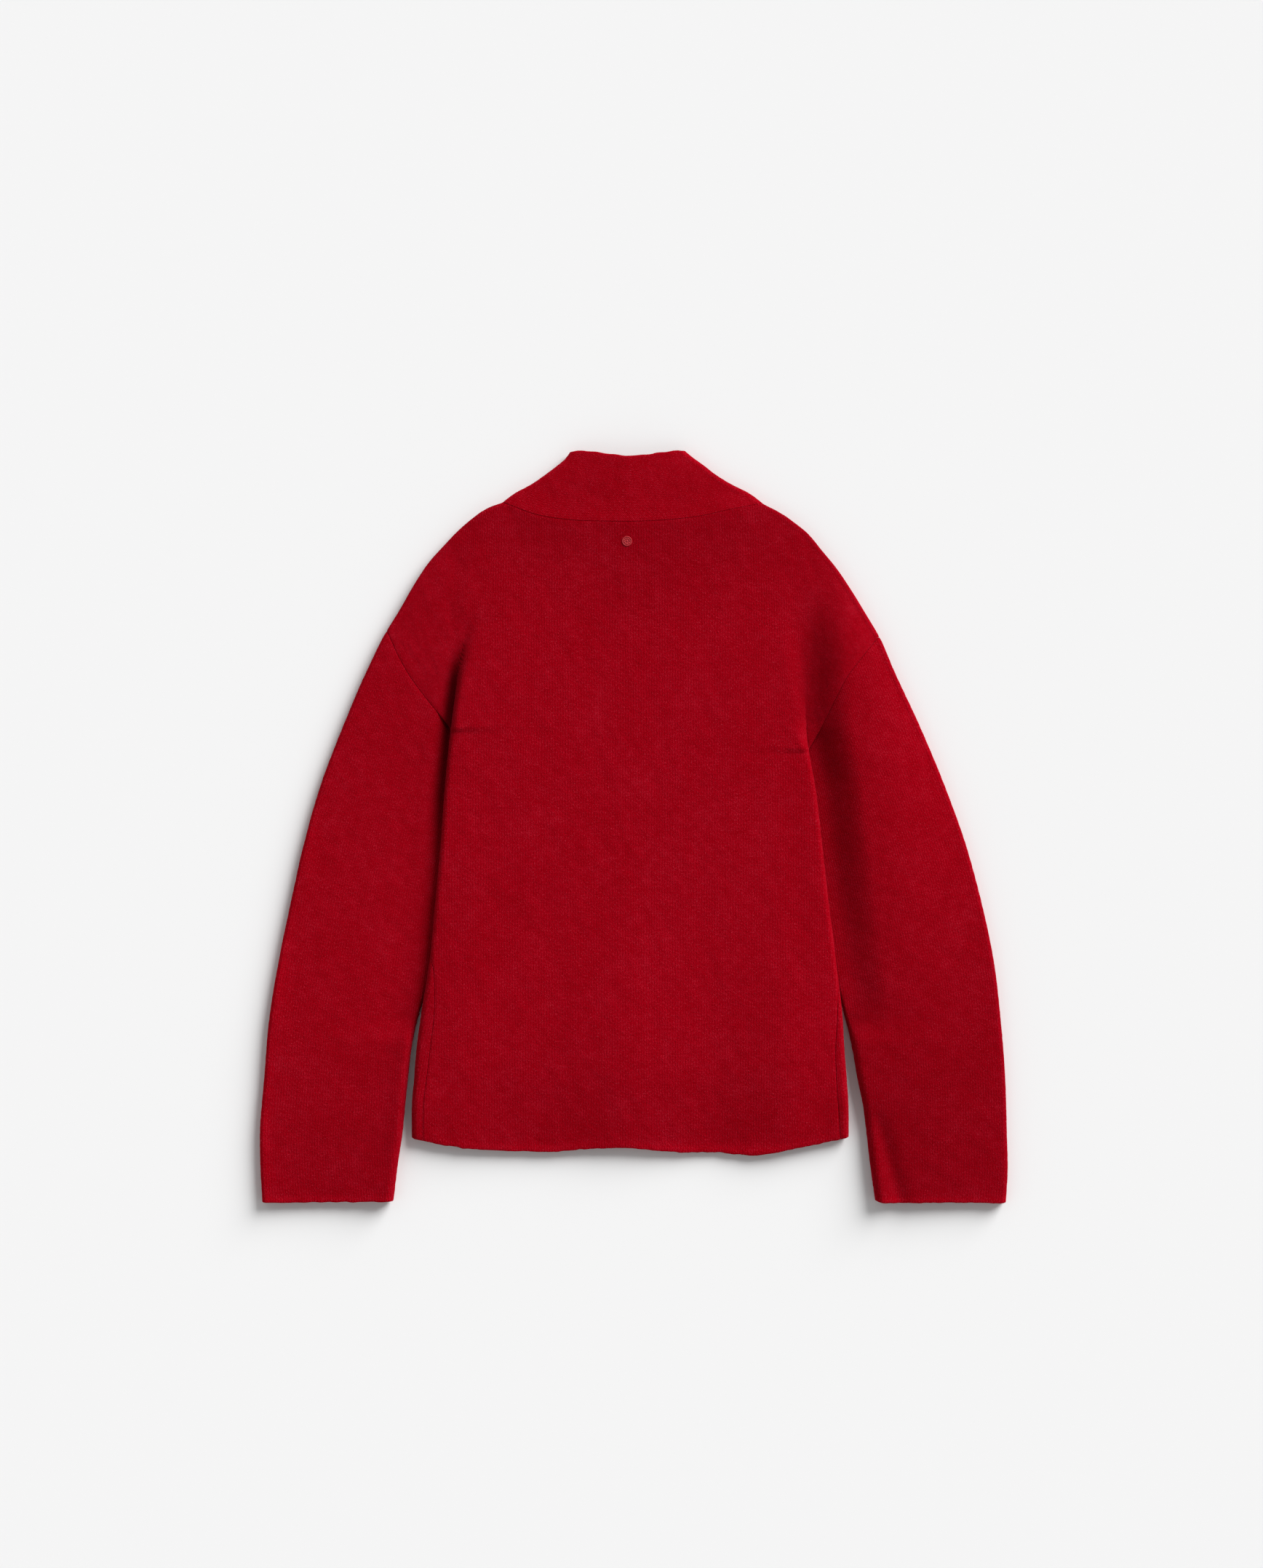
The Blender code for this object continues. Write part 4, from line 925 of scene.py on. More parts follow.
def sleeve_edges(side):
    """Middle lines of the sleeve's outer and inner edge folds, from armhole to cuff."""
    line = outer[side]
    start = np.argmin(np.linalg.norm(line - tips[side], axis=1))
    underarm_out, underarm_y = UNDERARM[side]
    across = np.array((underarm_out - side * tips[side][0], underarm_y - tips[side][1]))
    across /= np.linalg.norm(across)
    first = np.array((underarm_out, underarm_y)) + across * TUCK_R
    inner = [(row[SIDE_COLUMN[side]], row[0]) for row in SLEEVE_INNER[1:-1]]
    inner.append((SLEEVE_INNER[-1][SIDE_COLUMN[side]], CUFF_INNER_Y[side]))
    inner = shifted(smooth_line(inner, 1.0), HALF)
    inner = smooth_line([first] + list(inner[8:-4:8]) + [inner[-1]], 1.0)
    inner[:, 0] *= side
    return line[start:], inner


# ---- Collar -----------------------------------------------------------------------------

def collar_edge(side, x, on_back):
    """Point of the collar's free edge over a point x of the neck seam."""
    left = collar_side[LEFT][-1][0]
    right = collar_side[RIGHT][-1][0]
    top = column(COLLAR_TOP, 1)
    if on_back:
        share = (x - BACK_NECK[0][0]) / (BACK_NECK[-1][0] - BACK_NECK[0][0])
        share += EDGE_CROWDING * math.sin(2 * math.pi * share) / (2 * math.pi)
        edge_x = left + (right - left) * share
        return np.array((edge_x, float(top(edge_x))))
    corner_x = left if side == LEFT else right
    out = along_front_neck(2, side * x)
    near = float(smooth(COLLAR_GROW_OUT, FRONT_NECK[0][2], out))
    grow = 1 + (abs(corner_x) / FRONT_NECK[0][2] - 1) * near
    rise = (float(top(corner_x)) - FRONT_NECK[0][3]) * near
    return np.array((side * out * grow, along_front_neck(3, side * x) + rise))


# ---- Fine grids ----------------------------------------------------------------------

def steps_between(low, high, pitch):
    return max(1, int(math.ceil(abs(high - low) / pitch - 0.01)))


def refined(values, pitch, rim_first=False, rim_last=False):
    """The list with steps added so that none is wider than the pitch, and rim lines at its ends."""
    values = list(values)
    sign = 1 if values[-1] > values[0] else -1
    head = [values[0] + sign * step for step in RIM_STEPS] if rim_first else [values[0]]
    tail = [values[-1] - sign * step for step in reversed(RIM_STEPS)] if rim_last else [values[-1]]
    inner = [v for v in values[1:-1]
             if min(sign * (v - head[-1]), sign * (tail[0] - v)) > LEAST_STEP]
    marks = [head[-1]] + inner + [tail[0]]
    full = head[:-1]
    for low, high in zip(marks, marks[1:]):
        count = steps_between(low, high, pitch)
        full += [low + (high - low) * k / count for k in range(count)]
    return full + tail


def side_index(pitch):
    """Fractional places in the side columns' lists that leave no step wider than the pitch."""
    fold = np.concatenate(([0.0, STRIP], np.array(BACK_FOLD) - BACK_FOLD[0] + SIDE_COLUMNS[2]))
    places = [0.0, RIM_STEPS[1] / STRIP, 1.0, 1.2]
    for k in range(1, len(SIDE_COLUMNS) - 1):
        start = places[-1]
        width = max(SIDE_COLUMNS[k + 1] - SIDE_COLUMNS[k], fold[k + 1] - fold[k])
        count = steps_between(0.0, width * (k + 1 - start), pitch)
        places += [start + (k + 1 - start) * (i + 1) / count for i in range(count)]
    return np.array(places)


def side_places(fold, seam_to_edge, share):
    """Running lengths of the side columns from the seam.

    They keep their places along the body's fold where share is 1, and their distances from
    the seam at the shoulder where it is 0.
    """
    least = STRIP * np.arange(1, len(fold) + 2)
    push = (np.array(fold) + seam_to_edge - least[1:]) / PUSH
    kept = least[1:] + PUSH * np.logaddexp(0.0, push)
    kept = np.concatenate(([0.0, STRIP], kept))
    places = np.array(SIDE_COLUMNS) * (1 - share) + kept * share
    return np.interp(grid["sides"], np.arange(len(places)), places)


def row_levels(top, cross, underarm, bottom, shoulder):
    """Levels of the rows in one column, from the shoulder or neck to the hem."""
    if shoulder:
        near = [top] * len(RIM_STEPS) + [top - step for step in EDGE_STEPS]
    else:
        near = [top - step for step in RIM_STEPS]
        near += list(np.linspace(near[-1], top - EDGE_STEPS[-1], len(EDGE_STEPS) + 1)[1:])
    upper = np.linspace(near[-1], cross, grid["upper"] + 1)[1:]
    tuck = np.linspace(cross, underarm, grid["tuck"] + 1)[1:]
    lower = np.linspace(underarm, bottom + RIM_STEPS[-1], grid["lower"] + 1)[1:]
    rim = [bottom + step for step in reversed(RIM_STEPS[:-1])]
    return np.concatenate((near, upper, tuck, lower, rim))


def panel_rows(chart, tops, on_shoulder, levels_at, upper_layer):
    """Grid of one body panel, as rows from the shoulder to the hem."""
    columns = []
    rim = len(RIM_STEPS)
    for i, top in enumerate(tops):
        x_low, _ = chart(i, HEM_LEVEL)
        cross, underarm, hem = levels_at(x_low)
        levels = row_levels(top, cross, underarm, hem(x_low), on_shoulder[i])
        x, z = chart(i, levels)
        d = distance_to(edge_lines, x, levels)
        z = edge_drop(z, d) if upper_layer else edge_lift(z, d)
        if on_shoulder[i]:
            turn = 1 if upper_layer else -1
            at_neck = abs(x[0]) < BACK_NECK[-1][0] + GAP
            lip = CORNER_LIP if at_neck else GAP / 2
            z[:rim] = EDGE_MID + turn * np.linspace(lip, FOLD_FLAT, rim)
        columns.append(np.column_stack((x, levels, z)))
    return np.array(columns).transpose(1, 0, 2)


def back_columns():
    """Places of the back's columns along its upper edge, and those in the middle as shares."""
    middle = refined((BACK_NECK[0][0], BACK_NECK[-1][0]), grid["pitch"])
    reach = side_places(BACK_FOLD, 0.0, 0.0)
    first = tips[LEFT][0] + reach[-1]
    last = tips[RIGHT][0] - reach[-1]
    places = list(tips[LEFT][0] + reach) + middle + list(tips[RIGHT][0] - reach[::-1])
    return places, [(x - first) / (last - first) for x in middle]


def front_columns(side):
    """Out of a front's columns along its upper edge, from the tip to the centre."""
    start = side * tips[side][0]
    reach = start - side_places(BACK_FOLD, 0.0, 0.0)
    neck = [row[0] for row in FRONT_NECK[:-1]] + [side * CENTRE_X - LAP / 2]
    neck = refined([reach[-1]] + neck, grid["pitch"], rim_last=True)[1:]
    return list(reach) + neck


def front_rows(side):
    places = front_columns(side)
    count = len(grid["sides"])
    width = places[count - 1] - places[-1]
    middle = [(places[count - 1] - out) / width for out in places[count:]]

    def section(y):
        out, z, first = front_half(side, y, places[-1])
        return side * out, z, y, first, np.zeros(0), middle

    neck_out = FRONT_NECK[0][0] - GAP
    on_shoulder = [out >= neck_out for out in places]
    tops = [shoulder_top(side, out) if out >= neck_out else along_front_neck(1, out)
            for out in places]

    def hem(x):
        inside = 1 - smooth(*FRONT_HEM_OUT, abs(x))
        return float(hem_y(x) + FRONT_HEM_RISE * inside)

    def levels_at(_):
        return crossing_y[side], UNDERARM[side][1], hem

    rows = panel_rows(body_chart(section), tops, on_shoulder, levels_at, False)
    return rows[:, ::-1] if side == RIGHT else rows


def sleeve_rings(side):
    """Rings of the sleeve from the armhole to the cuff, each starting at its inner seam.

    Also the place of each point in the knit: across from the outer edge, and along it.
    """
    outer_edge, inner_edge = sleeve_edges(side)
    levels = row_levels(tips[side][1], crossing_y[side], UNDERARM[side][1], HEM_LEVEL, True)
    rim = len(RIM_STEPS)
    levels = levels[rim - 1:rim + len(EDGE_STEPS) + grid["upper"] + grid["tuck"]]
    seam = np.column_stack((side * boundary_out(side, levels), levels))
    run = lengths(seam)
    shares = run / run[-1]
    heading = line_at(outer_edge, HEADING) - outer_edge[0]
    heading /= np.linalg.norm(heading)
    total = lengths(outer_edge)[-1]
    stations = np.array(refined(SLEEVE_STARTS + (total,), grid["pitch"], True, True)) / total
    rings = []
    knit = []
    for w in stations:
        start = line_at(outer_edge, w)
        end = line_at(inner_edge, w)
        along = line_at(outer_edge, w + AHEAD) - line_at(outer_edge, w - AHEAD)
        along /= np.linalg.norm(along)
        across = end - start
        width = np.linalg.norm(across)
        across /= width
        radius = float(inner_radius(side, end[1]))
        reach = width - radius
        fixed = np.array((0.0,) + EDGE_STEPS)
        rest = np.linspace(fixed[-1], reach, len(shares) - len(fixed) + 1)[1:]
        wanted = np.concatenate((fixed, rest))
        blend = smooth(0.0, EVEN_SHARE, w)
        e = shares * reach + (wanted - shares * reach) * blend
        plan = start + e[:, None] * across
        chord = seam[0] + shares[:, None] * (seam[-1] - seam[0])
        plan = plan + (seam - chord) * (1 - smooth(0.0, SEAM_SHARE, w))
        room = GAP + CORNER_GAP * np.exp(-run / TIP_REACH)
        room += CREASE_GAP * np.exp(-((levels - crossing_y[side]) / CREASE_REACH) ** 2)
        plan = plan + heading * room[:, None] * (1 - smooth(0.0, ROOM_SHARE, w))
        x = plan[:, 0]
        y = plan[:, 1]
        top = sleeve_top(side, x, y)
        top[0] = EDGE_MID + FOLD_FLAT
        d = distance_to(edge_lines, x, y)
        low = edge_lift(np.full(len(x), HALF), d)
        low[0] = EDGE_MID - FOLD_FLAT
        upper = np.column_stack((x, y, top))
        lower = np.column_stack((x, y, low))
        centre = (top[-1] + low[-1]) / 2
        half = (top[-1] - low[-1]) / 2

        def turned_edge(angles):
            turn = np.radians(angles)
            flat = plan[-1] + across * radius * np.cos(turn)[:, None]
            return np.column_stack((flat, centre + half * np.sin(turn)))

        below = turned_edge([0.0] + [-a for a in reversed(TURN_ANGLES)])
        above = turned_edge(TURN_ANGLES)
        ring = np.concatenate((below, lower[::-1], upper, above))
        closed = np.concatenate((ring, ring[:1]))
        round_length = lengths(closed)
        u = round_length - round_length[len(below) + len(lower)]
        v = w * total + (closed[:, :2] - start) @ along
        rings.append(ring)
        knit.append(np.column_stack((u, v)))
    return np.array(rings), np.array(knit)


def collar_column(side, base, on_back):
    """One column of the collar, from its seam to its free edge."""
    edge = collar_edge(side, base[0], on_back)
    fold = collar_side[side]
    corner = np.array((side * FRONT_NECK[0][0], shoulder_top(side, FRONT_NECK[0][0])))
    near = math.exp(-np.linalg.norm(base - corner) / CORNER_REACH)
    away = edge - base
    length = np.linalg.norm(away)
    start = base + away / length * (GAP + CORNER_GAP * near)
    rim = np.array(RIM_STEPS) / length
    shares = np.concatenate((rim[:-1], np.linspace(rim[-1], 1 - rim[-1], grid["collar"]),
                             1 - rim[-2::-1]))
    plan = start + shares[:, None] * (edge - start)
    last = fold[-1]
    straight = corner + shares[:, None] * (last - corner)
    curved = np.array([line_at(fold, share) for share in shares])
    curved += (corner - fold[0]) * (1 - shares[:, None]) ** CORNER_POWER
    plan = plan + (curved - straight) * near
    x = plan[:, 0]
    y = plan[:, 1]
    d = distance_to(edge_lines[2:], x, y)
    if near > AT_CORNER:
        d = np.zeros(len(x))
    if on_back:
        z = edge_drop(body_height(y), d)
    else:
        rise = front_height(side, side * x, y) - HALF
        z = edge_lift(HALF + rise * smooth(EDGE_R, COLLAR_RISE, d), d)
    return np.column_stack((x, y, z))


def collar_rows(back, front_left, front_right):
    """Rows of the collar from the seam to its free edge; it runs round from end to end."""
    limit = FRONT_NECK[0][0] + GAP
    left = [p[:2] for p in front_left[0] if p[0] > -limit]
    right = [p[:2] for p in front_right[0] if p[0] < limit]
    middle = [p[:2] for p in back[0] if abs(p[0]) < limit]
    columns = [collar_column(LEFT, base, False) for base in left[::-1]]
    columns += [collar_column(LEFT if base[0] < 0 else RIGHT, base, True) for base in middle]
    columns += [collar_column(RIGHT, base, False) for base in right[::-1]]
    return [[one[j] for one in columns] for j in range(len(columns[0]))]


# ---- Shells -----------------------------------------------------------------------------

def put(name, data):
    """A new object in the scene."""
    thing = bpy.data.objects.new(name, data)
    bpy.context.scene.collection.objects.link(thing)
    return thing


def ripple(x, y, seed, longest, shortest, count=14):
    """Soft uneven relief from -1 to 1 as a sum of waves."""
    draw = np.random.default_rng(seed)
    total = np.zeros(np.broadcast(x, y).shape)
    for _ in range(count):
        wave = math.exp(draw.uniform(math.log(shortest), math.log(longest)))
        angle = draw.uniform(0.0, math.pi)
        phase = draw.uniform(0.0, 2 * math.pi)
        total += np.sin(2 * math.pi * (x * math.cos(angle) + y * math.sin(angle)) / wave + phase)
    return total / math.sqrt(count)


def along_rows(points):
    """Running length of each row of a grid."""
    steps = np.linalg.norm(np.diff(points, axis=1), axis=2)
    return np.concatenate((np.zeros((len(points), 1)), np.cumsum(steps, axis=1)), axis=1)


def shell(name, points, knit, turn, stuff, rims, tone, relief=0.0, closed=False, seed=1):
    """A piece of cloth from the grid of its middle: two faces that meet in round edges.

    knit holds the place of each point in the knit, across and along the wales; turn is 1
    where rows and columns give a normal that points out of the garment. rims are the radii
    that round the first and last row and the first and last column. tone is the painted shade
    and painted light at each point: the factor that scales its colour.
    """
    rows, columns = points.shape[:2]
    if closed:
        ring = np.concatenate((points[:, -1:], points, points[:, :1]), axis=1)
        across = ring[:, 2:] - ring[:, :-2]
    else:
        across = np.gradient(points, axis=1)
    normal = np.cross(np.gradient(points, axis=0), across) * turn
    normal /= np.linalg.norm(normal, axis=2)[..., None]
    down = along_rows(points.transpose(1, 0, 2)).T
    edges = [down, down[-1] - down]
    if not closed:
        run = along_rows(points)
        edges += [run, run[:, -1:] - run]
    share = np.minimum.reduce([np.clip(edge / rim, 0.0, 1.0)
                               for edge, rim in zip(edges, rims)])
    edge = np.minimum.reduce(edges)
    thick = HALF * np.sqrt(np.maximum(1 - (1 - share) ** 2, 0.0))
    u = knit[:, :columns, 0]
    v = knit[:, :columns, 1]
    outline = 1 - np.abs(normal[..., 2])
    rise = relief * (1 - outline) * ripple(u, v, seed, *FACE_WAVES)
    rise += OUTLINE_RELIEF * outline ** 2 * ripple(u, v, seed + 1, *OUTLINE_WAVES)
    rise *= smooth(0.0, RELIEF_EDGE, edge)
    sewn = [away for away, rim in zip(edges, rims) if rim == SEAM]
    rise -= SEAM_DIP * np.exp(-(np.minimum.reduce(sewn) / SEAM_REACH) ** 2)
    outside = points + normal * (thick + rise)[..., None]
    inside = points - normal * thick[..., None]
    border = np.zeros((rows, columns), bool)
    border[[0, -1]] = True
    if not closed:
        border[:, [0, -1]] = True
    index_out = np.arange(rows * columns).reshape(rows, columns)
    index_in = index_out.copy()
    index_in[~border] = rows * columns + np.arange((~border).sum())
    verts = np.concatenate((outside.reshape(-1, 3), inside[~border])) * MM
    verts[:, 2] = np.maximum(verts[:, 2], 0.0)
    last = columns if closed else columns - 1
    i = np.arange(last)
    k = (i + 1) % columns
    j = np.arange(rows - 1)[:, None]

    def quads(index):
        return np.stack((index[j, i], index[j + 1, i], index[j + 1, k], index[j, k]), axis=-1)

    def corners(values):
        return np.stack((values[j, i], values[j + 1, i], values[j + 1, i + 1],
                         values[j, i + 1]), axis=2)

    size = knit.reshape(-1, 2)
    chart = (knit - size.min(0)) / np.ptp(size, axis=0)
    knit_corners = corners(knit).reshape(-1, 4, 2)
    chart_corners = corners(chart).reshape(-1, 4, 2)
    if turn > 0:
        order_out, order_in = slice(None), slice(None, None, -1)
    else:
        order_out, order_in = slice(None, None, -1), slice(None)
    faces = np.concatenate((quads(index_out).reshape(-1, 4)[:, order_out],
                            quads(index_in).reshape(-1, 4)[:, order_in]))
    knit_uv = np.concatenate((knit_corners[:, order_out], knit_corners[:, order_in])) * MM
    chart_corners = chart_corners * CHART_SIZE
    bake_uv = np.concatenate((chart_corners[:, order_out] + CHART_OUTSIDE,
                              chart_corners[:, order_in] + CHART_INSIDE))
    mesh = bpy.data.meshes.new(name)
    mesh.vertices.add(len(verts))
    mesh.vertices.foreach_set("co", verts.ravel())
    mesh.loops.add(faces.size)
    mesh.loops.foreach_set("vertex_index", faces.ravel().astype(np.int32))
    mesh.polygons.add(len(faces))
    mesh.polygons.foreach_set("loop_start", np.arange(0, faces.size, 4, dtype=np.int32))
    mesh.update(calc_edges=True)
    for layer, values in (("knit", knit_uv), ("OFBake", bake_uv)):
        mesh.uv_layers.new(name=layer).uv.foreach_set("vector", values.ravel())
    # painted shade and painted light of each point, which scales the knit's colour
    painted_shading = mesh.attributes.new("painted_shading", "FLOAT", "POINT")
    painted_shading.data.foreach_set("value", np.concatenate((tone.ravel(), tone[~border])))
    mesh.validate()
    mesh.shade_smooth()
    mesh.materials.append(stuff)
    return put(name, mesh)


def wavy_edge(points, amount, seed, corners=()):
    """Let the last row of a grid run unevenly, and round it off at some corners.

    Each corner has its x, the reach of its rounding and its depth.
    """
    down = along_rows(points.transpose(1, 0, 2)).T
    left = down[-1] - down
    heading = points[-1] - points[-1 - EDGE_ROWS]
    heading /= np.linalg.norm(heading, axis=1)[:, None]
    run = along_rows(points[-1:])[0]
    shift = amount * ripple(run, 0.0, seed, *FREE_EDGE_WAVES)
    for x, reach, depth in corners:
        close = np.clip(1 - np.abs(points[-1, :, 0] - x) / reach, 0.0, 1.0)
        shift = shift - depth * close ** 2
    fade = 1 - smooth(0.0, FREE_EDGE_FADE, left)
    return points + (shift[None] * fade)[..., None] * heading[None]


# ---- Knit -------------------------------------------------------------------------------

class Nodes:
    """Short words for building a material's nodes."""

    def __init__(self, name):
        self.material = bpy.data.materials.new(name)
        self.material.use_nodes = True
        self.tree = self.material.node_tree
        self.shader = self.tree.nodes["Principled BSDF"]

    def shade(self, name, source):
        self.join(source, self.shader.inputs[name])

    def place(self):
        return self.tree.nodes.new("ShaderNodeTexCoord").outputs["Object"]

    def centred(self, value, amount):
        """A value around 0.5 as one around 0, times an amount."""
        return self.math("MULTIPLY", self.math("SUBTRACT", value, 0.5), amount)

    def join(self, source, socket):
        if isinstance(source, (int, float, tuple)):
            socket.default_value = source
        else:
            self.tree.links.new(source, socket)

    def math(self, operation, *values):
        node = self.tree.nodes.new("ShaderNodeMath")
        node.operation = operation
        for value, socket in zip(values, node.inputs):
            self.join(value, socket)
        return node.outputs[0]

    def combine(self, x, y, z=0.0):
        node = self.tree.nodes.new("ShaderNodeCombineXYZ")
        for value, socket in zip((x, y, z), node.inputs):
            self.join(value, socket)
        return node.outputs[0]

    def noise(self, vector, scale, detail=2.0, rough=0.5):
        node = self.tree.nodes.new("ShaderNodeTexNoise")
        self.tree.links.new(vector, node.inputs["Vector"])
        node.inputs["Scale"].default_value = scale
        node.inputs["Detail"].default_value = detail
        node.inputs["Roughness"].default_value = rough
        return node.outputs["Fac"]

    def spread(self, value, low, high, to_low=0.0, to_high=1.0):
        node = self.tree.nodes.new("ShaderNodeMapRange")
        node.clamp = True
        for data, socket in zip((value, low, high, to_low, to_high), node.inputs[:5]):
            self.join(data, socket)
        return node.outputs[0]

    def mix(self, share, first, second):
        node = self.tree.nodes.new("ShaderNodeMix")
        node.data_type = "RGBA"
        self.join(share, node.inputs["Factor"])
        self.join(first, node.inputs[6])
        self.join(second, node.inputs[7])
        return node.outputs[2]

    def bump(self, height, distance, strength, normal=None):
        node = self.tree.nodes.new("ShaderNodeBump")
        node.inputs["Strength"].default_value = strength
        node.inputs["Distance"].default_value = distance
        self.tree.links.new(height, node.inputs["Height"])
        if normal is not None:
            self.tree.links.new(normal, node.inputs["Normal"])
        return node.outputs["Normal"]


def knit_material(name, tones, rib, zigzag):
    """Felted stockinette: columns of V stitches with loose pale fibres over them.

    tones are the colours of its gaps, darker as painted shade, its face and its loose
    fibres; rib and zigzag are how strongly the columns and the stitches in them show.
    """
    n = Nodes(name)
    knit = n.tree.nodes.new("ShaderNodeUVMap")
    knit.uv_map = "knit"
    parts = n.tree.nodes.new("ShaderNodeSeparateXYZ")
    n.tree.links.new(knit.outputs["UV"], parts.inputs[0])
    u, v = parts.outputs[0], parts.outputs[1]
    place = n.place()
    drift = n.math("SUBTRACT", n.noise(place, *DRIFT_NOISE), 0.5)
    across = n.math("ADD", n.math("DIVIDE", u, WALE), n.math("MULTIPLY", drift, DRIFT))
    along = n.math("ADD", n.math("DIVIDE", v, COURSE), n.math("MULTIPLY", drift, DRIFT))
    off_middle = n.math("MULTIPLY", n.math("ABSOLUTE", n.math(
        "SUBTRACT", n.math("FRACT", across), 0.5)), 2.0)
    dome = n.math("SUBTRACT", 1.0, n.math("POWER", off_middle, 2.2))
    phase = n.math("FRACT", n.math("SUBTRACT", along, n.math("MULTIPLY", off_middle, 0.8)))
    strand = n.math("SUBTRACT", 1.0, n.math("POWER", n.math("ABSOLUTE", n.math(
        "SUBTRACT", n.math("MULTIPLY", phase, 2.0), 1.0)), 2.0))
    stitch = n.math("ADD", n.math("MULTIPLY", dome, rib), n.math("MULTIPLY", strand, zigzag))
    fibre_place = n.combine(n.math("MULTIPLY", u, FIBRE[0]), n.math("MULTIPLY", v, FIBRE[1]))
    fibres = n.noise(fibre_place, *FIBRE_NOISE)
    felt = n.noise(place, *FELT_NOISE)
    cloud = n.noise(place, *CLOUD_NOISE)
    tuft = n.noise(place, *TUFT_NOISE)
    middle = STITCH_MIDDLE[0] * rib + STITCH_MIDDLE[1] * zigzag
    level = n.math("SUBTRACT", stitch, middle)
    for noise, amount in ((fibres, FIBRE_AMOUNT), (cloud, CLOUD_AMOUNT), (tuft, TUFT_AMOUNT)):
        level = n.math("ADD", level, n.centred(noise, amount))
    shaded_gap_colour, face, pale = (tuple(tone) + (1.0,) for tone in tones)
    # low places between and along the stitches take the gaps' darker colour, painted shade in those
    # recesses; the fibre, cloud and tuft noise moves it too, as random tone
    colour = n.mix(n.spread(level, *GAP_LEVELS), shaded_gap_colour, face)
    colour = n.mix(n.spread(level, *PALE_LEVELS), colour, pale)
    fleck_place = n.combine(n.math("MULTIPLY", u, FLECK_SIZE[0]),
                            n.math("MULTIPLY", v, FLECK_SIZE[1]), 7.0)
    flecks = n.spread(n.noise(fleck_place, *FLECK_NOISE), 0.60, 0.82, 0.0, 0.5)
    colour = n.mix(flecks, colour, FLECK + (1.0,))
    # painted shade and painted light: each point's value scales the colour
    painted_shading = n.tree.nodes.new("ShaderNodeAttribute")
    painted_shading.attribute_name = "painted_shading"
    colour_with_painted_shading = n.tree.nodes.new("ShaderNodeVectorMath")
    colour_with_painted_shading.operation = "SCALE"
    n.tree.links.new(colour, colour_with_painted_shading.inputs[0])
    n.tree.links.new(painted_shading.outputs["Fac"], colour_with_painted_shading.inputs["Scale"])
    n.shade("Base Color", colour_with_painted_shading.outputs[0])
    first = n.bump(n.math("ADD", stitch, n.math("MULTIPLY", fibres, 1.2)), 0.0006, 0.7)
    last = n.bump(felt, 0.0009, 0.35, first)
    n.shade("Normal", last)
    n.shade("Roughness", n.spread(fibres, 0.2, 0.8, 0.86, 0.98))
    n.shade("Specular IOR Level", 0.0)
    n.shade("Sheen Weight", SHEEN)
    n.shade("Sheen Roughness", SHEEN_ROUGHNESS)
    n.shade("Sheen Tint", SHEEN_TINT)
    return n.material


def smooth_material(name, base, roughness, level, speck=0.0):
    """Polished plastic or enamel with faint clouds and scuffs."""
    n = Nodes(name)
    place = n.place()
    cloud = n.noise(place, *PLASTIC_CLOUD)
    dark = tuple(c * 0.82 for c in base[:3]) + (1.0,)
    pale = tuple(min(c * 1.15 + speck, 1.0) for c in base[:3]) + (1.0,)
    n.shade("Base Color", n.mix(n.spread(cloud, 0.3, 0.7), dark, pale))
    n.shade("Roughness", n.spread(cloud, 0.3, 0.7, roughness - 0.06, roughness + 0.08))
    n.shade("Normal", n.bump(n.noise(place, *PLASTIC_SCUFF), 0.0001, 0.3))
    n.shade("Specular IOR Level", level)
    return n.material


# ---- Where each point lies in the knit ---------------------------------------------------

def body_knit(points, side=None):
    """Across from the middle along the cloth, and along the wales.

    Outside the creases the wales lean in towards the body, as the armhole seams do.
    """
    run = along_rows(points)
    level = points[..., 1]
    if side is None:
        x = points[..., 0]
        centre = np.array([np.interp(0.0, row, length) for row, length in zip(x, run)])
        u = run - centre[:, None]
        out = np.abs(x)
        crease = np.where(x < 0, body_out[LEFT](level), body_out[RIGHT](level))
        lean = smooth(WALE_LEAN[1], WALE_LEAN[2], out - crease)
        lean *= smooth(*LEAN_LEVELS, level)
        u = u - np.sign(x) * WALE_LEAN[0] * lean * (level - WALE_LEAN[3])
    else:
        u = run - run[:, :1] if side == RIGHT else run - run[:, -1:]
    return np.stack((u, level), axis=-1)


def collar_knit(points):
    """The collar is knitted sideways: its wales run round the neck."""
    run = along_rows(points)
    up = along_rows(points.transpose(1, 0, 2)).T
    middle = run[:, run.shape[1] // 2]
    return np.stack((up, run - middle[:, None]), axis=-1)


# ---- Pieces --------------------------------------------------------------------------------

def choose(settings):
    grid.clear()
    grid.update(settings)
    grid["sides"] = side_index(settings["pitch"])


def cloth(piece, node):
    """Put a piece of cloth in place of its solid."""
    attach(piece, "root")
    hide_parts(node)


def painted_shading_of(points, spots):
    """Painted shade and painted light that scale the colour: at the given spots, and shade in the
    creases beside the body.
    """
    x = points[..., 0]
    y = points[..., 1]
    tone = np.ones(x.shape)
    # painted shade and painted light at the given spots
    for out, level, reach_x, reach_y, amount in spots:
        tone -= amount * np.exp(-((x - out) / reach_x) ** 2 - ((y - level) / reach_y) ** 2)
    # painted shade in the creases beside the body
    for side, out, reach, amount, levels in CREASE_PAINTED_SHADE:
        window = smooth(levels[0], levels[1], y) * (1 - smooth(levels[2], levels[3], y))
        away = side * x - body_out[side](y) - out
        tone -= amount * window * np.exp(-(away / reach) ** 2)
    return tone


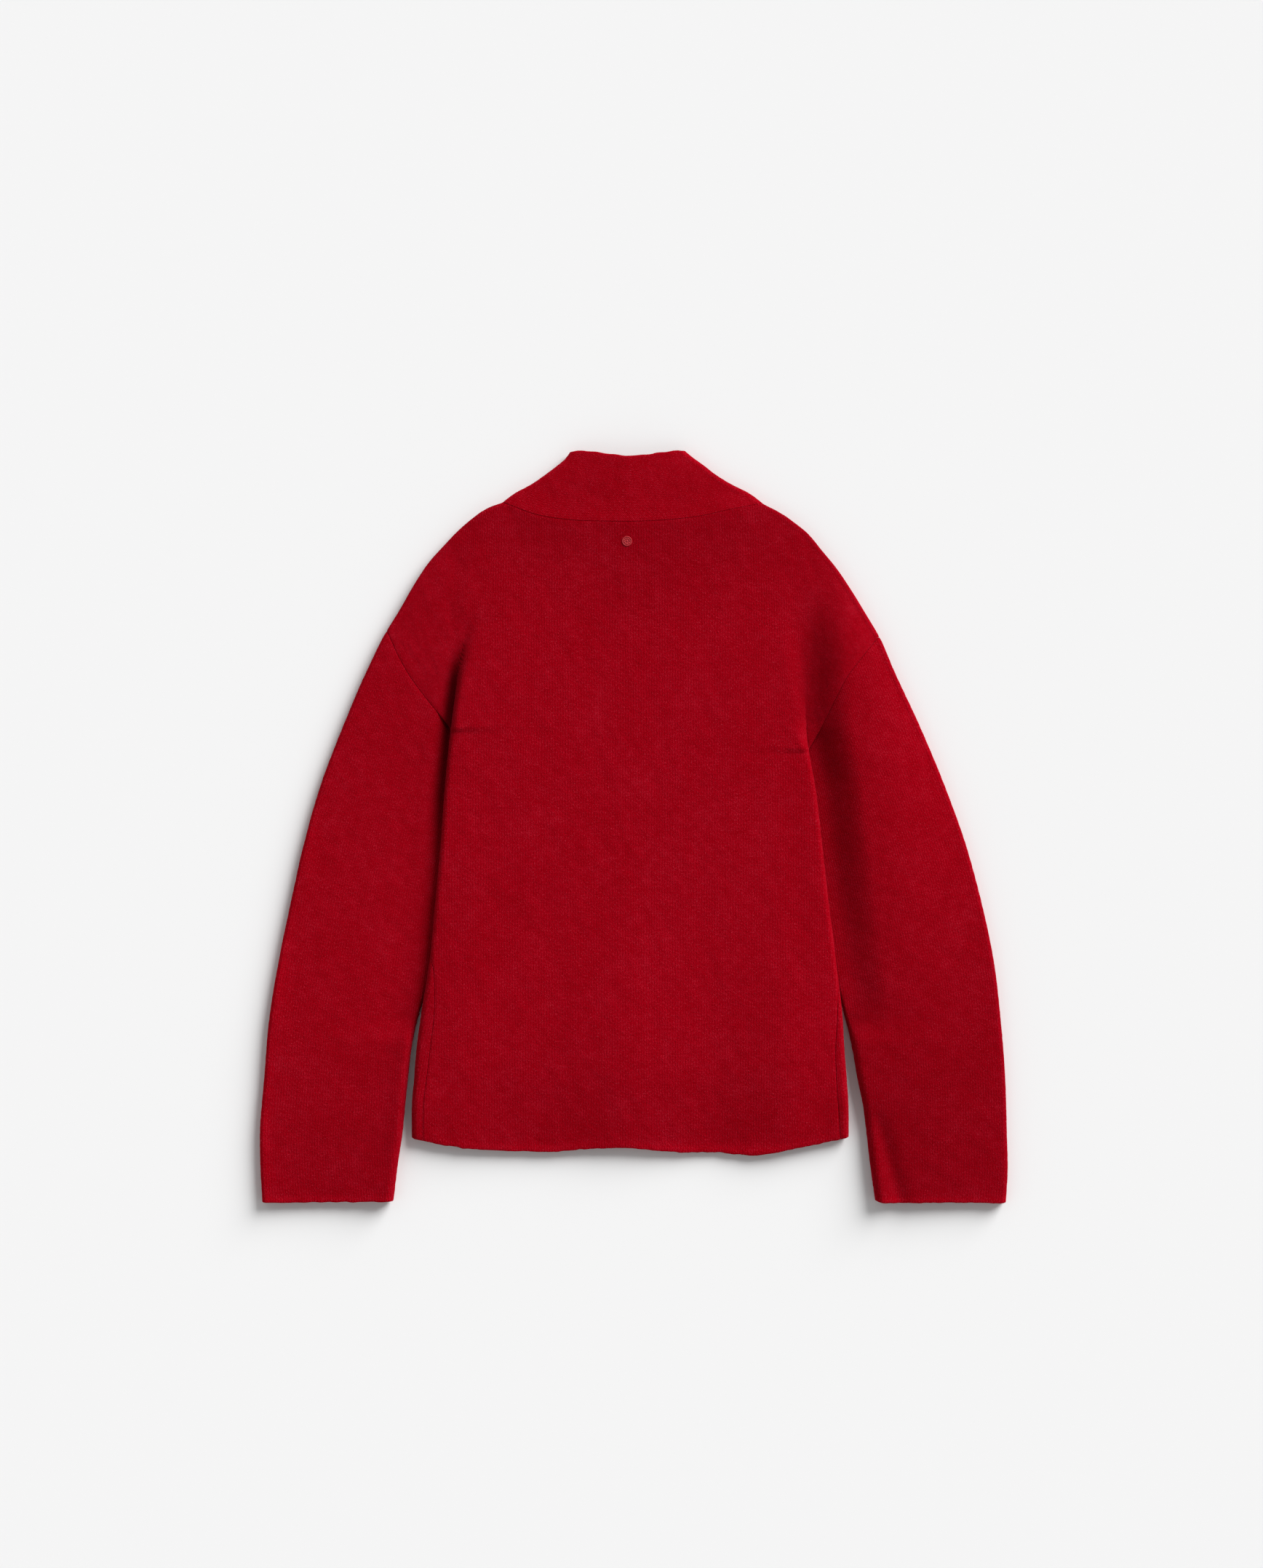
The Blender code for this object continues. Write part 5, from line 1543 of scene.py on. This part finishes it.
def cut_slots(piece, levels):
    """Cut upright buttonholes with round ends through a piece at the given levels."""
    turn = np.linspace(0.0, math.pi, SLOT_STEPS)
    straight = (SLOT_LENGTH - SLOT_WIDTH) / 2
    x = SLOT_WIDTH / 2 * np.concatenate((np.cos(turn), -np.cos(turn)))
    y = SLOT_WIDTH / 2 * np.concatenate((np.sin(turn), -np.sin(turn)))
    y += np.repeat((straight, -straight), SLOT_STEPS)
    count = len(x)
    verts = []
    faces = []
    for level in levels:
        base = len(verts)
        for z in (BUTTON_T - GAP / 2, BUTTON_T + WALL + 1.5 * GAP):
            verts += [((CENTRE_X + dx) * MM, (level + dy) * MM, z * MM) for dx, dy in zip(x, y)]
        faces.append([base + k for k in reversed(range(count))])
        faces.append([base + count + k for k in range(count)])
        for k in range(count):
            n = (k + 1) % count
            faces.append((base + k, base + n, base + count + n, base + count + k))
    mesh = bpy.data.meshes.new("slots")
    mesh.from_pydata(verts, [], faces)
    cutter = put("slots", mesh)
    hole = piece.modifiers.new("buttonholes", "BOOLEAN")
    hole.operation = "DIFFERENCE"
    hole.solver = "EXACT"
    hole.object = cutter
    bpy.context.view_layer.update()
    cut = bpy.data.meshes.new_from_object(piece.evaluated_get(
        bpy.context.evaluated_depsgraph_get()))
    piece.modifiers.clear()
    piece.data = cut
    bpy.data.objects.remove(cutter, do_unlink=True)


def lathe(name, shape, stuff, beads=None):
    """A turned piece from its half section, in millimetres, with a ring of beads."""
    shape = np.array(shape)
    run = lengths(shape)
    fine = np.concatenate([np.linspace(low, high, BUTTON_CURVE + 1)[:-1]
                           for low, high in zip(run, run[1:])])[1:]
    radius = spline(run, shape[:, 0])(fine)
    height = spline(run, shape[:, 1])(fine)
    turn = np.arange(ROUND_STEPS) * 2 * math.pi / ROUND_STEPS
    z = np.repeat(height[:, None], ROUND_STEPS, axis=1)
    if beads:
        count, relief, middle, reach = beads
        ring = np.exp(-((radius - middle) / reach) ** 2) * (fine < run[-4])
        z = z + relief * ring[:, None] * np.cos(count * turn)
    x = radius[:, None] * np.cos(turn)
    y = radius[:, None] * np.sin(turn)
    verts = np.stack((x, y, z), axis=-1).reshape(-1, 3)
    ends = np.array(((0.0, 0.0, shape[0, 1]), (0.0, 0.0, shape[-1, 1])))
    first, last = len(verts), len(verts) + 1
    faces = []
    for j in range(len(fine) - 1):
        for i in range(ROUND_STEPS):
            k = (i + 1) % ROUND_STEPS
            low = j * ROUND_STEPS
            faces.append((low + i, low + ROUND_STEPS + i, low + ROUND_STEPS + k, low + k))
    low = (len(fine) - 1) * ROUND_STEPS
    for i in range(ROUND_STEPS):
        k = (i + 1) % ROUND_STEPS
        faces += [(i, k, first), (low + k, low + i, last)]
    mesh = bpy.data.meshes.new(name)
    mesh.from_pydata((np.concatenate((verts, ends)) * MM).tolist(), [], faces)
    mesh.shade_smooth()
    mesh.materials.append(stuff)
    return put(name, mesh)


def set_down(piece, node, place, tilt=0.0):
    """Put a turned piece in place of its solid."""
    piece.location = [c * MM for c in place]
    piece.rotation_euler = (tilt, 0.0, 0.0)
    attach(piece, "root")
    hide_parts(node)


red_knit = knit_material("red_knit", KNIT_TONES, *KNIT_STITCH)
collar_material = knit_material("collar_knit", COLLAR_TONES, *COLLAR_STITCH)

choose(SHOWN)
back_grid = back_rows()
hem_corners = [(side * float(body_out[side](HEM_LEVEL)),) + HEM_CORNER for side in SIDES]
back_grid = wavy_edge(back_grid, FREE_EDGE_WAVE["shown"], 31, hem_corners)
back = shell("back_panel", back_grid, body_knit(back_grid), 1, red_knit,
             (SEAM, EDGE, SEAM, SEAM), painted_shading_of(back_grid, BODY_PAINTED_SHADING), FACE_RELIEF["shown"], seed=3)
cloth(back, "back")

choose(HIDDEN)
front_grids = {side: wavy_edge(front_rows(side), FREE_EDGE_WAVE["hidden"], 1, hem_corners)
               for side in SIDES}
for side, word in ((LEFT, "left"), (RIGHT, "right")):
    points = front_grids[side]
    rims = (SEAM, EDGE, SEAM, EDGE) if side == LEFT else (SEAM, EDGE, EDGE, SEAM)
    piece = shell("front_%s_panel" % word, points, body_knit(points, side), -1, red_knit,
                  rims, painted_shading_of(points, BODY_PAINTED_SHADING) * FRONT_DARKENING, FACE_RELIEF["hidden"], seed=5 + side)
    if side == RIGHT:
        cut_slots(piece, [TOP_BUTTON_Y - i * BUTTON_PITCH for i in range(1, BUTTON_COUNT)])
    cloth(piece, "front_" + word)

choose(SLEEVE)
for side, word in ((LEFT, "left"), (RIGHT, "right")):
    points, knit = sleeve_rings(side)
    corner = (side * float(inner_out[side](CUFF_INNER_Y[side])),) + CUFF_CORNERS[side]
    points = wavy_edge(points, FREE_EDGE_WAVE["shown"], 41 + side, [corner])
    turn = 1 if side == LEFT else -1
    piece = shell("sleeve_%s_tube" % word, points, knit, turn, red_knit,
                  (SEAM, EDGE), painted_shading_of(points, SLEEVE_PAINTED_SHADING), FACE_RELIEF["shown"], closed=True,
                  seed=9 + side)
    cloth(piece, "sleeve_" + word)

choose(SHOWN)
collar_fronts = {side: front_rows(side) for side in SIDES}
collar_grid = np.array(collar_rows(back_grid, collar_fronts[LEFT], collar_fronts[RIGHT]))
seam_down = along_rows(collar_grid.transpose(1, 0, 2)).T
at_seam = 1 - smooth(0.0, LAP_REACH, seam_down)
collar_grid[..., 2] += COLLAR_LAP[1] * at_seam * np.sign(collar_grid[..., 2] - EDGE_MID)
to_seam = collar_grid[0] - collar_grid[EDGE_ROWS]
to_seam /= np.linalg.norm(to_seam, axis=1)[:, None]
collar_grid += at_seam[..., None] * COLLAR_LAP[0] * to_seam
collar_corners = [(collar_side[side][-1][0],) + COLLAR_CORNER for side in SIDES]
collar_grid = wavy_edge(collar_grid, FREE_EDGE_WAVE["collar"], 51, collar_corners)
collar = shell("collar_band", collar_grid, collar_knit(collar_grid), -1, collar_material,
               (SEAM, EDGE, EDGE, EDGE), painted_shading_of(collar_grid, COLLAR_PAINTED_SHADING), FACE_RELIEF["collar"],
               seed=21)
cut_slots(collar, [TOP_BUTTON_Y])
cloth(collar, "collar")

button_look = smooth_material("button_plastic", BUTTON_COLOUR, roughness=0.22, level=0.5)
stud_look = smooth_material("stud_enamel", STUD_COLOUR, roughness=0.55, level=0.15, speck=0.01)
button_levels = [TOP_BUTTON_Y - i * BUTTON_PITCH for i in range(BUTTON_COUNT)]
for i, level in enumerate(button_levels):
    button = lathe("button_%d_turned" % (i + 1), BUTTON_SHAPE, button_look)
    set_down(button, "button_%d" % (i + 1), (CENTRE_X, level, 0.0))
slope = float(body_height(STUD_Y + STUD_R) - body_height(STUD_Y - STUD_R)) / (2 * STUD_R)
stud = lathe("nape_stud_turned", STUD_SHAPE, stud_look, STUD_BEADS)
set_down(stud, "nape_stud", (STUD_X, STUD_Y, float(body_height(STUD_Y)) + HALF),
         math.atan(slope))


# ---- Floor, light and camera -----------------------------------------------------------------

def floor_material():
    n = Nodes("paper_white")
    n.shade("Base Color", FLOOR_WHITE)
    n.shade("Roughness", 1.0)
    n.shade("Specular IOR Level", 0.0)
    return n.material


def add_floor():
    mesh = bpy.data.meshes.new("floor")
    corners = [(x * FLOOR_REACH, y * FLOOR_REACH, 0.0)
               for x, y in ((-1, -1), (1, -1), (1, 1), (-1, 1))]
    mesh.from_pydata(corners, [], [(0, 1, 2, 3)])
    mesh.materials.append(floor_material())
    floor = put("floor", mesh)


def add_light():
    """A wide soft window of light from the upper right, and even light from all sides.

    Little light comes from straight overhead.
    """
    light = bpy.data.lights.new("window", "SUN")
    light.energy = SUN_POWER
    light.angle = math.radians(SUN_SPREAD)
    window = put("window", light)
    turn = math.radians(SUN_TURN)
    height = math.radians(SUN_HEIGHT)
    from_where = Vector((math.cos(turn) * math.cos(height), math.sin(turn) * math.cos(height),
                         math.sin(height)))
    window.rotation_euler = from_where.to_track_quat("Z", "Y").to_euler()
    world = bpy.data.worlds.new("studio")
    bpy.context.scene.world = world
    world.use_nodes = True
    nodes = world.node_tree.nodes
    links = world.node_tree.links
    heading = nodes.new("ShaderNodeSeparateXYZ")
    links.new(nodes.new("ShaderNodeTexCoord").outputs["Generated"], heading.inputs[0])
    strength = nodes.new("ShaderNodeMapRange")
    strength.interpolation_type = "SMOOTHSTEP"
    for value, socket in zip(OVERHEAD + (FILL_POWER, OVERHEAD_POWER), strength.inputs[1:5]):
        socket.default_value = value
    links.new(heading.outputs["Z"], strength.inputs[0])
    links.new(strength.outputs[0], nodes["Background"].inputs["Strength"])
    nodes["Background"].inputs["Color"].default_value = (1.0, 1.0, 1.0, 1.0)


def add_camera():
    """Straight down from far above, with the frame that the flat lay has."""
    data = bpy.data.cameras.new("camera")
    data.sensor_fit = "VERTICAL"
    data.sensor_height = SENSOR_HEIGHT
    data.lens = LENS
    data.clip_end = VIEW_REACH
    camera = put("camera", data)
    distance = FRAME_HEIGHT * LENS / SENSOR_HEIGHT
    camera.location = (FRAME_X, FRAME_Y, FRAME_LEVEL + distance)
    bpy.context.scene.camera = camera


bpy.context.scene.view_settings.view_transform = "Standard"
add_floor()
add_light()
add_camera()
